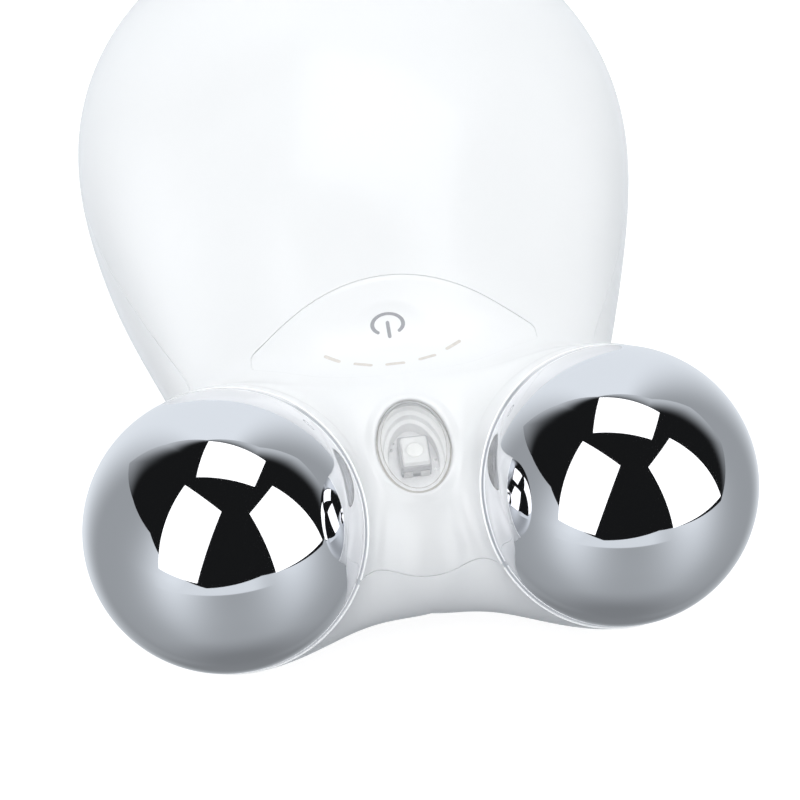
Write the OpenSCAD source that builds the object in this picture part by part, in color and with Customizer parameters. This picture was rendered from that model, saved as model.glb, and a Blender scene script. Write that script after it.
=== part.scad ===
// Handheld facial toning device: a pear-shaped two-shell housing whose head
// carries two fixed chrome ball electrodes in cups, with a lamp window between
// them, a lens-shaped power key with level marks, a rechargeable cell, a main
// board and a charging socket at the tail. Millimetres, +Z up, resting on the
// belly pad and the two cups.

/* [Electrodes] */
// Diameter of each ball electrode
ball_d = 25; // [24.8:0.1:25.1]
// Distance between the ball centres
ball_pitch = 34.9; // [34.6:0.1:35.2]
// Radius of the socket that each ball sits in
socket_r = 12.62; // [12.6:0.01:12.7]
// Radius of the rounded pod behind each ball
pod_r = 13.05; // [13:0.05:13.2]
// How far the pod's centre lies behind the ball's
pod_back = 3; // [2.9:0.05:3.1]
// Upward lean of the cup axis in degrees
cup_lean = 40; // [38:1:42]
// Outward turn of the cup axis in degrees
cup_splay = 14; // [13:1:15]

/* [Body] */
// Half width of the bulb
bulb_a = 28; // [27.8:0.1:28.2]
// Half length of the bulb
bulb_b = 30; // [29.8:0.1:30.2]
// Half height of the bulb
bulb_c = 21; // [20.8:0.1:21.2]
// Distance of the bulb's centre behind the balls
bulb_y = 57.5; // [57.3:0.1:57.7]
// Thickness of the moulded walls
wall = 2; // [1.9:0.05:2.1]
// Nose-down tilt of the body when it rests
rest_tilt = 9.8; // [9.8:0.1:9.8]

/* [Power key] */
// Half width of the lens-shaped key
key_half = 13.33; // [13.2:0.01:13.4]
// Gap round the key
key_gap = 0.12; // [0.10:0.01:0.15]
// Travel of the key and of the switch under it
key_travel = 0.25; // [0.2:0.05:0.25]

/* [Window] */
// Half width of the lamp window
win_a = 3.35; // [3.3:0.05:3.4]
// Half length of the lamp window
win_b = 5.2; // [5.1:0.05:5.3]

/* [Hidden] */

white = [0.93, 0.93, 0.95];
part_z = -2.6;                 // height of the parting plane, balls' centres at 0
px = ball_pitch / 2;
rest_z = -14.711;              // resting plane, measured square to it
box_y = 37.31;                 // middle of the resting length

// Everything is drawn about the midpoint between the ball centres, then laid
// down on its belly pad.
module place() translate([0, -box_y, -rest_z]) rotate([rest_tilt, 0, 0]) children();
module in_rest_frame() rotate([-rest_tilt, 0, 0]) children();   // inside place(), Z square to the table

// ---------------------------------------------------------------- outer skin
function sm(a, b, k) = let(h = min(1, max(0, 0.5 + 0.5 * (b - a) / k))) b * (1 - h) + a * h - k * h * (1 - h);
function ss(t) = let(u = min(1, max(0, t))) u * u * (3 - 2 * u);
function ell(p, c, s) = let(q = p - c, a = [q.x / s.x, q.y / s.y, q.z / s.z], k0 = norm(a),
    k1 = norm([a.x / s.x, a.y / s.y, a.z / s.z])) k1 < 1e-9 ? -min(s) : k0 * (k0 - 1) / k1;
pod_n = [sin(cup_splay) * cos(cup_lean), -cos(cup_splay) * cos(cup_lean), sin(cup_lean)];
pod_c = [px, 0, 0] - pod_back * pod_n;
// Signed distance, near enough, from the outer skin: bulb, neck, nose and pods blended.
function skin(p) = let(q = [abs(p.x), p.y, p.z],
    b = ell(q, [0, bulb_y, -4.2], [bulb_a, bulb_b, bulb_c]),
    n = ell(q, [0, 28, -6.8], [20.2, 30, 9.4]),
    s = ell(q, [0, 8.4, -4.75], [8.8, 14.7, 8.4]),
    d = norm(q - pod_c) - pod_r,
    w = max(ss((-4 - q.z) / 5), ss((q.y - 5) / 8)))
    sm(sm(sm(b, n, 19.3), s, 2.8), d, 1.3 + 7.9 * w);
function root(o, d, lo, hi, lv, n) = let(m = (lo + hi) / 2)
    n == 0 ? m : skin(o + m * d) > lv ? root(o, d, lo, m, lv, n - 1) : root(o, d, m, hi, lv, n - 1);
// Height of the skin above a point in plan, and depth of it below.
function top_z(x, y) = root([x, y, part_z], [0, 0, 1], 0, 40, 0, 16) + part_z;
function low_z(x, y) = part_z - root([x, y, part_z], [0, 0, -1], 0, 40, 0, 16);

// Closed solid inside the skin offset by lv. Rays fan out from a spine along the
// middle, so one row of points lies in the parting plane.
// s = 1 keeps the upper half, -1 the lower half, 0 the whole.
function spine(t) = [0, 12 + 40 * pow((1 - cos(t)) / 2, 3), part_z];
module skin_solid(lv, nt, np, s) {
    full = s == 0;
    cols = full ? 2 * np : np + 1;
    m0 = ceil(nt / 3);
    pts = concat(
        [let(o = spine(0)) o + root(o, [0, -1, 0], 0, 60, lv, 22) * [0, -1, 0]],
        [for (i = [1 : nt - 1], j = [0 : cols - 1])
            let(t = 180 * i / nt, f = (s < 0 ? -1 : 1) * 180 * j / np, o = spine(t),
                d = [sin(t) * cos(f), -cos(t), j % np == 0 ? 0 : sin(t) * sin(f)],
                r = root(o, d, 0, 60, lv, 22) * d)
            [o.x + r.x, o.y + r.y, j % np == 0 ? part_z : o.z + r.z]],
        [let(o = spine(180)) o + root(o, [0, 1, 0], 0, 60, lv, 22) * [0, 1, 0]],
        full ? [] : [for (i = [m0 : nt - 1]) spine(180 * i / nt)]);
    last = 1 + (nt - 1) * cols;
    function id(i, j) = i == 0 ? 0 : i == nt ? last : 1 + (i - 1) * cols + (full ? j % cols : j);
    function mid(i) = last + 1 + max(0, min(nt - 1, i) - m0);
    sides = [for (i = [0 : nt - 1], j = [0 : (full ? cols : np) - 1])
        let(a = id(i, j), b = id(i, j + 1), c = id(i + 1, j + 1), d = id(i + 1, j))
        each (i == 0 ? [[a, c, d]] : i == nt - 1 ? [[a, b, c]] : [[a, b, c], [a, c, d]])];
    cap = full ? [] : [for (i = [0 : nt - 1]) let(a = id(i, 0), b = id(i + 1, 0), e = id(i, np), f = id(i + 1, np), c = mid(i), d = mid(i + 1))
        each concat([[a, b, c], [e, c, f]], c == d ? [] : [[b, d, c], [f, c, d]])];
    polyhedron(pts, [for (f = concat(sides, cap)) s >= 0 ? f : [f[0], f[2], f[1]]], convexity = 8);
}
// Block whose top follows the skin over a rectangle in plan, sunk by `sink`.
module skin_block(x1, y0, y1, nx, ny, zb, sink) {
    w = 2 * nx + 1;
    g = [for (j = [0 : ny], i = [-nx : nx]) let(x = x1 * i / nx, y = y0 + (y1 - y0) * j / ny) [x, y, top_z(x, y) - sink]];
    ring = [for (i = [0 : w - 1]) i, for (j = [1 : ny]) j * w + w - 1, for (i = [w - 2 : -1 : 0]) ny * w + i, for (j = [ny - 1 : -1 : 1]) j * w];
    n = len(g);
    m = len(ring);
    polyhedron(concat(g, [for (k = ring) [g[k].x, g[k].y, zb]], [[0, (y0 + y1) / 2, zb]]), concat(
        [for (j = [0 : ny - 1], i = [0 : w - 2]) let(a = j * w + i) each [[a, a + w, a + w + 1], [a, a + w + 1, a + 1]]],
        [for (k = [0 : m - 1]) let(k1 = (k + 1) % m) each [[ring[k], ring[k1], n + k1], [ring[k], n + k1, n + k], [n + k, n + k1, n + m]]]), convexity = 4);
}

// ------------------------------------------------------------ local frames
module at_cup(s) translate([s * px, 0, 0]) rotate([90 - cup_lean, 0, s * cup_splay]) children();
// Axis of the stud that holds a ball: +Z points from the housing out to the ball.
module at_stud(s) translate([s * px, 0, 0]) rotate([60, 0, s * 20]) children();
win_y = 5;
win_z = 3.4;
win_tilt = 8.7;
module at_window() translate([0, win_y, win_z]) rotate([win_tilt, 0, 0]) children();
icon_y = 20;
icon_tilt = 22;
module at_icon() translate([0, icon_y, 4.2]) rotate([icon_tilt, 0, 0]) children();
module oval(a, b, h) linear_extrude(h) polygon([for (t = [0 : 7.5 : 352.5]) [a * cos(t), b * sin(t)]]);
module disc(r, z0, z1) translate([0, 0, z0]) cylinder(r = r, h = z1 - z0, $fn = 64);
module box(x0, x1, y0, y1, z0, z1) translate([x0, y0, z0]) cube([x1 - x0, y1 - y0, z1 - z0]);

// Plan shape of the power key: two arcs, cut off square at the key's tips.
key_back = 24.3;
key_front = 13.9;
module lens(g, z0, z1) translate([0, 0, z0]) linear_extrude(z1 - z0) intersection() {
    translate([0, key_back - 23]) circle(r = 23 - g, $fn = 128);
    translate([0, key_front + 23.4]) circle(r = 23.4 - g, $fn = 128);
    translate([g - key_half, 0]) square([2 * (key_half - g), 40]);
}
// Flat-sided slot with round ends, w wide and h high, from y0 to y1.
module slot(w, h, y0, y1) translate([0, y1, part_z]) rotate([90, 0, 0]) linear_extrude(y1 - y0)
    polygon([for (s = [0, 180], k = [0 : 10]) let(t = s - 90 + 18 * k) [(s == 0 ? 1 : -1) * (w - h) / 2 + h / 2 * cos(t), h / 2 * sin(t)]]);

// Level marks: five short bars on a shallow smile below the icon.
bar_x = [-5.65, -3, 0, 3, 5.65];
bar_turn = [-34, -20, 0, 20, 34];
bar_len = [1.75, 1.85, 1.9, 1.85, 1.75];
function bar_y(x) = 15.35 + 0.055 * x * x;

screw_at = [[19, 44], [16.5, 69]];
board_hole = [[11.5, 32], [11.5, 60]];

// A wire of radius r along points p, eight-sided, closed at both ends.
module wire(p, r) {
    n = len(p);
    function tan_at(i) = let(d = i == 0 ? p[1] - p[0] : i == n - 1 ? p[n - 1] - p[n - 2] : p[i + 1] - p[i - 1]) d / norm(d);
    function side(t) = let(u = cross(t, [0.31, 0.22, 0.92])) u / norm(u);
    pts = [for (i = [0 : n - 1]) let(t = tan_at(i), u = side(t), v = cross(t, u)) for (k = [0 : 7]) p[i] + r * (cos(45 * k) * u + sin(45 * k) * v)];
    polyhedron(pts, concat([[for (k = [0 : 7]) k]], [[for (k = [7 : -1 : 0]) (n - 1) * 8 + k]],
        [for (i = [0 : n - 2], k = [0 : 7]) let(a = i * 8 + k, b = i * 8 + (k + 1) % 8) each [[a, a + 8, b + 8], [a, b + 8, b]]]), convexity = 6);
}
// A smooth path through points, k steps a span.
function spline(p, k) = [for (i = [0 : len(p) - 2], j = [0 : k - 1])
    let(a = p[max(0, i - 1)], b = p[i], c = p[i + 1], d = p[min(len(p) - 1, i + 2)], t = j / k)
    0.5 * ((2 * b) + (c - a) * t + (2 * a - 5 * b + 4 * c - d) * t * t + (3 * b - a - 3 * c + d) * t * t * t), p[len(p) - 1]];

// ------------------------------------------------------------------ housing
// Hollow of the housing: the inner skin less the cup walls, bosses and ribs.
module hollow(s) difference() {
    skin_solid(-wall, 26, 18, 0);
    for (k = [-1, 1]) {
        translate([k * px, 0, 0]) sphere(r = 14.6, $fn = 96);
        for (p = screw_at) translate([k * p.x, p.y, 0]) disc(s > 0 ? 3 : 3.3, s > 0 ? part_z : -40, s > 0 ? 40 : part_z);
    }
    if (s > 0) for (k = [-1, 1], p = board_hole) translate([k * p.x, p.y, 0]) disc(2.4, -1.3, 40);
    if (s < 0) {
        for (k = [-1, 1]) at_stud(k) disc(3.6, -15.2, -12);
        for (y = [46, 62]) box(-13.4, 13.4, y, y + 1.5, -40, -15);
        for (k = [-1, 1]) box(k * 14.1 - 0.7, k * 14.1 + 0.7, 46, 66, -40, -9);
        for (k = [-1, 1]) translate([k * 5.5, 75, 0]) disc(2, -40, -5.25);
        in_rest_frame() box(-20, 20, 35, 72, -40, -12.3);
    }
}
module socket(k) {
    translate([k * px, 0, 0]) sphere(r = socket_r, $fn = 96);
    at_cup(k) disc(13.1, -0.7, 9);
    at_stud(k) disc(4.6, -12.75, -10);
}

module top_shell() place() color(white) difference() {
    skin_solid(0, 44, 30, 1);
    hollow(1);
    for (k = [-1, 1]) {
        socket(k);
        for (p = screw_at) translate([k * p.x, p.y, 0]) disc(0.95, -5, 5);
        for (p = board_hole) translate([k * p.x, p.y, 0]) disc(0.9, -3, 4.5);
    }
    at_window() translate([0, 0, -3]) oval(win_a, win_b, 8);
    at_window() translate([0, 0, -6.5]) oval(win_a + 0.65, win_b + 0.65, 5.6);
    lens(0, -2, 14);
    slot(9.6, 3.9, 80, 92);
}

module bottom_shell() place() color(white) difference() {
    skin_solid(0, 44, 30, -1);
    hollow(-1);
    for (k = [-1, 1]) {
        socket(k);
        at_stud(k) disc(1.7, -17, -10);
        for (p = screw_at) translate([k * p.x, p.y, 0]) { disc(1.2, -12, 0); disc(2.2, -40, -10); }
        translate([k * 5.5, 75, 0]) disc(0.9, -11, -4);
    }
    slot(9.6, 3.9, 80, 92);
    in_rest_frame() { box(-40, 40, 30, 90, -30, rest_z + 0.3); translate([0, 53.75, 0]) disc(7.6, -20, rest_z + 0.8); }
}

module belly_pad() place() color([0.75, 0.75, 0.77]) in_rest_frame() translate([0, 53.75, 0])
    difference() { disc(7.5, rest_z, rest_z + 0.8); disc(5.2, rest_z - 1, rest_z + 0.25); }

module housing_screws() place() color("silver") for (k = [-1, 1], p = screw_at) translate([k * p.x, p.y, 0]) difference() {
    union() { disc(2.05, -11.6, -10); disc(0.92, -10.2, 3.5); }
    disc(0.9, -12, -10.9);
}
module screw_plugs() place() color([0.88, 0.88, 0.9]) for (k = [-1, 1], p = screw_at) translate([k * p.x, p.y, 0])
    disc(2.15, low_z(p.x - 1.4, p.y) + 1.7, low_z(p.x - 1.4, p.y) + 3.6);

// --------------------------------------------------------------- electrodes
module ball(k) place() color([0.8, 0.82, 0.85]) translate([k * px, 0, 0]) difference() {
    sphere(r = ball_d / 2, $fn = 128);
    difference() { sphere(r = ball_d / 2 - 1, $fn = 96); translate([-k * px, 0, 0]) at_stud(k) disc(3.5, -13, -5); }
    translate([-k * px, 0, 0]) at_stud(k) { disc(5.2, -13, -11.9); disc(1.5, -13, -6.5); }
}
module electrode_ball_left() ball(-1);
module electrode_ball_right() ball(1);
module electrode_seals() place() color([0.2, 0.2, 0.22]) for (k = [-1, 1]) at_stud(k)
    difference() { disc(4.4, -12.7, -11.95); disc(1.75, -14, -11); }
module electrode_terminals() place() color([0.85, 0.75, 0.4]) for (k = [-1, 1]) at_stud(k) {
    difference() { disc(2.6, -15.65, -15.25); disc(1.6, -16, -15); }
    translate([-0.9, 2.4, -15.65]) cube([1.8, 3, 0.4]);
    translate([-0.8, 3.6, -15.25]) cube([1.6, 1.8, 0.7]);
}
module electrode_screws() place() color("silver") for (k = [-1, 1]) at_stud(k) difference() {
    union() { disc(2.5, -17.3, -15.7); disc(1.45, -15.9, -7); }
    disc(1, -18, -16.4);
}
lead_path = [[12.6, 17.05, -4.9], [12.2, 18.6, -4.2], [10.6, 21.5, -4.3], [9.4, 24.8, -4.6], [9, 26.6, -4.2], [9, 27, -3.4], [9, 27, -2.54]];
module electrode_leads() place() color([0.85, 0.2, 0.15]) for (k = [-1, 1]) wire([for (q = spline(lead_path, 4)) [k * q.x, q.y, q.z]], 0.5);

// ---------------------------------------------------------------- power key
module key_marks(z0, z1) for (i = [0 : 4]) translate([bar_x[i], bar_y(bar_x[i]), 0]) rotate([0, 0, bar_turn[i]])
    translate([-bar_len[i] / 2, -0.2, z0]) cube([bar_len[i], 0.4, z1 - z0]);
module icon_shape(z0, z1) {
    difference() { disc(1.55, z0, z1); disc(1.12, z0 - 1, z1 + 1); box(-0.75, 0.75, -3, 0, z0 - 1, z1 + 1); }
    box(-0.2, 0.2, -2.05, 0.15, z0, z1);
}
module key_dish() at_icon() translate([0, -0.4, 0]) translate([0, 0, 15.25]) sphere(r = 15.6, $fn = 128);
module power_key() place() color(white) difference() {
    union() {
        intersection() {
            lens(key_gap, -1, 12);
            difference() { skin_block(14, 13, 26, 14, 12, -1, 0); skin_block(14.6, 12.7, 26.3, 12, 10, -2, 1.6); }
        }
        translate([0, icon_y, 0]) disc(2.2, 1.65, 3.2);
        box(-3, 3, 22.8, 23.85, 2.3, 4.6);
        box(-3, 3, 22.8, 25.6, 2.3, 3.1);
        box(-3, 3, 14.5, 15.1, 0.3, 2.2);
        box(-3, 3, 12.9, 15.1, 0.3, 0.75);
    }
    key_dish();
    at_icon() icon_shape(-0.9, 3);
    key_marks(-1, 12);
}
module power_icon_inlay() place() color([0.45, 0.46, 0.48]) difference() { at_icon() icon_shape(-0.88, -0.36); key_dish(); }
module level_light_bars() place() color([0.8, 0.76, 0.68]) intersection() {
    key_marks(0.9, 12);
    skin_block(8, 14, 18.5, 8, 5, 0, 0.03);
}
module tact_switch() place() color([0.15, 0.15, 0.16]) translate([0, icon_y, 0]) difference() { box(-3, 3, -3, 3, -1.3, 1.2); disc(1.65, 0, 3); }
module switch_plunger() place() color([0.3, 0.3, 0.32]) translate([0, icon_y, 0]) disc(1.6, 0.3, 1.55);

// ------------------------------------------------------------------- window
module led_window() place() color([0.86, 0.9, 0.9, 0.5]) {
    intersection() {
        at_window() translate([0, 0, -0.95]) oval(win_a - 0.06, win_b - 0.06, 4);
        skin_block(3.8, -0.7, 10.7, 5, 10, 0, 0.02);
    }
    at_window() translate([0, 0, -1.5]) oval(win_a + 0.55, win_b + 0.55, 0.56);
}
module window_bezel() place() color([0.85, 0.85, 0.87]) at_window() difference() {
    translate([0, 0, -4]) oval(win_a + 0.55, win_b + 0.55, 2.45);
    translate([0, 0, -5]) oval(win_a - 0.75, win_b - 0.75, 4);
}
module window_led_board() place() color([0.9, 0.9, 0.88]) at_window() translate([0, 0, -4.8]) oval(win_a + 0.5, win_b + 0.5, 0.8);
module window_led() place() color([0.97, 0.97, 0.9]) at_window() translate([0, 0.75, 0]) difference() {
    box(-1.4, 1.4, -1.75, 1.75, -4, -2.1);
    disc(1.15, -2.5, -1);
}
module window_led_leads() place() color([0.2, 0.2, 0.22]) for (k = [-1, 1]) wire(spline([[k * 1.2, 8.4, -1.1], [k * 1.2, 8.5, -1.7], [k * 1.4, 9.4, -2.8], [k * 2.2, 10.8, -3.5], [k * 3, 12.8, -3.6], [k * 3.2, 13.5, -3.1], [k * 3.2, 13.5, -2.53]], 3), 0.35);

// -------------------------------------------------------------- electronics
module main_pcb() place() color([0.1, 0.4, 0.25]) difference() {
    translate([0, 0, -2.5]) linear_extrude(1.2) polygon([[-7.5, 12.6], [7.5, 12.6], [7.5, 20], [12, 22], [12, 27], [14.5, 29], [14.5, 65], [-14.5, 65], [-14.5, 29], [-12, 27], [-12, 22], [-7.5, 20]]);
    for (k = [-1, 1], p = board_hole) translate([k * p.x, p.y, 0]) disc(1.1, -5, 0);
}
module on_board(x, y) translate([x, y, -1.3]) children();
module controller_chip() place() color([0.12, 0.12, 0.13]) on_board(0, 31) box(-3, 3, -5, 5, 0, 1.5);
module level_leds() place() color([0.95, 0.93, 0.8]) for (x = bar_x) on_board(x * 0.97, bar_y(x) - (abs(x) > 5 ? 0.3 : 0)) box(-0.8, 0.8, -0.4, 0.4, 0, 0.7);
module step_up_transformer() place() color([0.25, 0.22, 0.2]) on_board(6, 50) { box(-4, 4, -3.5, 3.5, 0, 5); }
module inductor() place() color([0.3, 0.3, 0.32]) on_board(-7, 43) difference() { box(-3, 3, -3, 3, 0, 3); disc(1, 2.6, 4); }
module capacitor() place() color([0.5, 0.52, 0.6]) on_board(-7, 53) disc(2.5, 0, 7);
module buzzer() place() color([0.14, 0.14, 0.15]) on_board(6.5, 39) difference() { disc(4.5, 0, 4); disc(0.8, 3, 5); }
module battery_cell() place() color([0.75, 0.76, 0.8]) box(-13, 13, 40, 70, -14.4, -5.4);
module battery_foam_pad() place() color([0.2, 0.2, 0.2]) box(-10, 10, 43, 66, -14.95, -14.45);
module battery_connector() place() color([0.93, 0.92, 0.88]) on_board(-10.2, 37.5) difference() { box(-3, 3, -2.2, 2.2, 0, 4); box(-2.3, 2.3, -1.5, 1.5, 1, 5); }
module battery_leads() place() color([0.8, 0.15, 0.12]) for (k = [0, 1]) wire(spline([[-8 - 2.5 * k, 39.96, -9.9], [-8.2 - 2.5 * k, 39.2, -9.9], [-9.6 - 2.5 * k, 37.8, -9.6], [-13.5 - k, 36.5, -8], [-16 - k, 36.3, -4], [-16.2 - k, 36.6, -0.5], [-15.6 - k, 37.2, 1.7], [-14.4 - 0.2 * k, 37.1 + 0.9 * k, 1.9], [-13.7, 37.1 + 0.9 * k, 1.7], [-13.24, 37.1 + 0.9 * k, 1.7]], 3), 0.4);
module charge_board() place() color([0.1, 0.4, 0.25]) difference() { box(-7.5, 7.5, 72, 82.4, -5.25, -4.25); for (k = [-1, 1]) translate([k * 5.5, 75, 0]) disc(1.1, -6, -3); }
module charge_socket() place() color("silver") difference() {
    slot(8.94, 3.26, 79.15, 86.5);
    difference() { slot(8.34, 2.66, 80.3, 87); box(-3.35, 3.35, 80, 85.6, part_z - 0.35, part_z + 0.35); }
}
module charge_leads() place() color([0.2, 0.2, 0.22]) for (k = [-1, 1]) wire(spline([[k * 1.5, 73.5, -4.22], [k * 1.5, 73.5, -3.6], [k * 1.5, 73, -2.9], [k * 1.6, 71.4, -2.6], [k * 1.8, 69, -3.5], [k * 2, 66.6, -4], [k * 2.2, 64.4, -3.9], [k * 2.2, 63.8, -3.2], [k * 2.2, 63.8, -2.54]], 3), 0.4);
module board_screw() difference() { union() { disc(1.9, -1.3, 0); disc(0.85, -0.1, 5); } disc(0.8, -2, -0.7); }
module board_screws() place() color("silver") {
    for (k = [-1, 1], p = board_hole) translate([k * p.x, p.y, -2.5]) board_screw();
    for (k = [-1, 1]) translate([k * 5.5, 75, -4.25]) mirror([0, 0, 1]) board_screw();
}

top_shell();
bottom_shell();
electrode_ball_left();
electrode_ball_right();
electrode_seals();
electrode_screws();
electrode_terminals();
electrode_leads();
power_key();
power_icon_inlay();
level_light_bars();
tact_switch();
switch_plunger();
led_window();
window_bezel();
window_led_board();
window_led();
window_led_leads();
main_pcb();
controller_chip();
level_leds();
step_up_transformer();
inductor();
capacitor();
buzzer();
battery_cell();
battery_foam_pad();
battery_connector();
battery_leads();
charge_board();
charge_socket();
charge_leads();
board_screws();
housing_screws();
screw_plugs();
belly_pad();
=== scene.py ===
import math

import bmesh
import bpy
import numpy as np
from mathutils import Matrix, Vector


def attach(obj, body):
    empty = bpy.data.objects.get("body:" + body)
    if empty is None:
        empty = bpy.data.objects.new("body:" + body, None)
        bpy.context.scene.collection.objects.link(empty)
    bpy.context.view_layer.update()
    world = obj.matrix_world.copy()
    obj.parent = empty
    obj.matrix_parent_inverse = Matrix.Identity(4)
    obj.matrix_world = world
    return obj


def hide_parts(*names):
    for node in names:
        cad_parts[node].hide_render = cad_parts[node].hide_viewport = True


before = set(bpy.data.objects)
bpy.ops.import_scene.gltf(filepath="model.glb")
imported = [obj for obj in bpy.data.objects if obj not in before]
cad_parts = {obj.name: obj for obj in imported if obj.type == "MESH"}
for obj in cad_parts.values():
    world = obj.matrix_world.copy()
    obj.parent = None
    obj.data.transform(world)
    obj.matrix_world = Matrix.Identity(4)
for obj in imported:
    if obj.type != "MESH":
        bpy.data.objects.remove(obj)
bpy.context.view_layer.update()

# ------------------------------------------------------------------ frames
# The shapes are computed in millimetres about the midpoint between the ball
# centres, as in the CAD source, and then laid down in the row frame.
PHI = math.radians(9.8)
CP, SP = math.cos(PHI), math.sin(PHI)
OFF = np.array([0.0, -37.31, 14.711])
PART_Z = -2.6
PX = 17.45
REST_Z = -14.711


def turn(v):
    v = np.asarray(v, float)
    return np.stack([v[..., 0], v[..., 1] * CP - v[..., 2] * SP, v[..., 1] * SP + v[..., 2] * CP], -1)


def place(p):
    return (turn(p) + OFF) * 0.001


def unplace(p):
    q = np.asarray(p, float) * 1000.0 - OFF
    return np.stack([q[..., 0], q[..., 1] * CP + q[..., 2] * SP, -q[..., 1] * SP + q[..., 2] * CP], -1)


# ------------------------------------------------------------ the outer skin
def sm(a, b, k):
    h = np.clip(0.5 + 0.5 * (b - a) / k, 0, 1)
    return b * (1 - h) + a * h - k * h * (1 - h)


def ss(t):
    t = np.clip(t, 0, 1)
    return t * t * (3 - 2 * t)


def ell(p, c, s):
    q = (p - np.array(c)) / np.array(s)
    k0 = np.linalg.norm(q, axis=-1)
    k1 = np.linalg.norm(q / np.array(s), axis=-1)
    return k0 * (k0 - 1) / np.maximum(k1, 1e-9)


LEAN, SPLAY = math.radians(40), math.radians(14)
POD_N = np.array([math.sin(SPLAY) * math.cos(LEAN), -math.cos(SPLAY) * math.cos(LEAN), math.sin(LEAN)])
POD_C = np.array([PX, 0, 0]) - 3.0 * POD_N + np.array([-0.24, -0.11, -0.12])
POD_R = 12.88


def skin(p):
    q = np.array(p, float)
    q[..., 0] = np.abs(q[..., 0])
    b = ell(q, (0, 57.5, -4.2), (28, 30, 21))
    n = ell(q, (0, 28, -6.8), (20.2, 30, 9.4))
    s = ell(q, (0, 8.4, -4.75), (8.8, 14.7, 8.4))
    d = np.linalg.norm(q - POD_C, axis=-1) - POD_R
    w = np.maximum(ss((-1 - q[..., 2]) / 10), ss((q[..., 1] - 5) / 8))
    return sm(sm(sm(b, n, 19.3), s, 2.8), d, 2.4 + 6.8 * w) + 0.04


def grad(p):
    p = np.asarray(p, float)
    g = np.zeros_like(p)
    for k in range(3):
        e = np.zeros(3)
        e[k] = 0.02
        g[..., k] = skin(p + e) - skin(p - e)
    return g / np.maximum(np.linalg.norm(g, axis=-1, keepdims=True), 1e-12)


def root(o, d, lo=0.0, hi=60.0, lv=0.0, n=30):
    """Distance from o along d to the skin offset by lv; o is inside."""
    o, d = np.broadcast_arrays(np.asarray(o, float), np.asarray(d, float))
    a = np.full(o.shape[:-1], float(lo))
    b = np.full(o.shape[:-1], float(hi))
    for _ in range(n):
        m = (a + b) / 2
        out = skin(o + m[..., None] * d) > lv
        b = np.where(out, m, b)
        a = np.where(out, a, m)
    return (a + b) / 2


def top_z(x, y):
    x, y = np.broadcast_arrays(np.asarray(x, float), np.asarray(y, float))
    o = np.stack([x, y, np.full(x.shape, PART_Z)], -1)
    return root(o, np.array([0, 0, 1.0]), 0, 40) + PART_Z


# --------------------------------------------------------- local frames
def rot_x(a):
    c, s = math.cos(math.radians(a)), math.sin(math.radians(a))
    return np.array([[1, 0, 0], [0, c, -s], [0, s, c]])


def rot_z(a):
    c, s = math.cos(math.radians(a)), math.sin(math.radians(a))
    return np.array([[c, -s, 0], [s, c, 0], [0, 0, 1]])


class Frame:
    def __init__(self, o, r):
        self.o, self.r = np.array(o, float), r

    def out(self, p):
        return np.asarray(p, float) @ self.r.T + self.o

    def back(self, p):
        return (np.asarray(p, float) - self.o) @ self.r

    def vec(self, v):
        return np.asarray(v, float) @ self.r.T


HEAD = Frame((0, 0, 0), np.eye(3))
CUP = {k: Frame((k * PX, 0, 0), rot_z(k * 14) @ rot_x(50)) for k in (-1, 1)}
STUD = {k: Frame((k * PX, 0, 0), rot_z(k * 20) @ rot_x(60)) for k in (-1, 1)}
WIN = Frame((0, 5, 3.4), rot_x(8.7))
WIN_A, WIN_B = 3.35, 5.2
ICON = Frame((0, 20, 4.2), rot_x(22))
REST = Frame((0, 0, 0), rot_x(-9.8))
SCREWS = [(19, 44), (16.5, 69)]
BOARD_HOLES = [(11.5, 32), (11.5, 60)]


# ---------------------------------------------------------------- materials
def srgb(c):
    return [x / 12.92 if x <= 0.04045 else ((x + 0.055) / 1.055) ** 2.4 for x in c]


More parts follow.
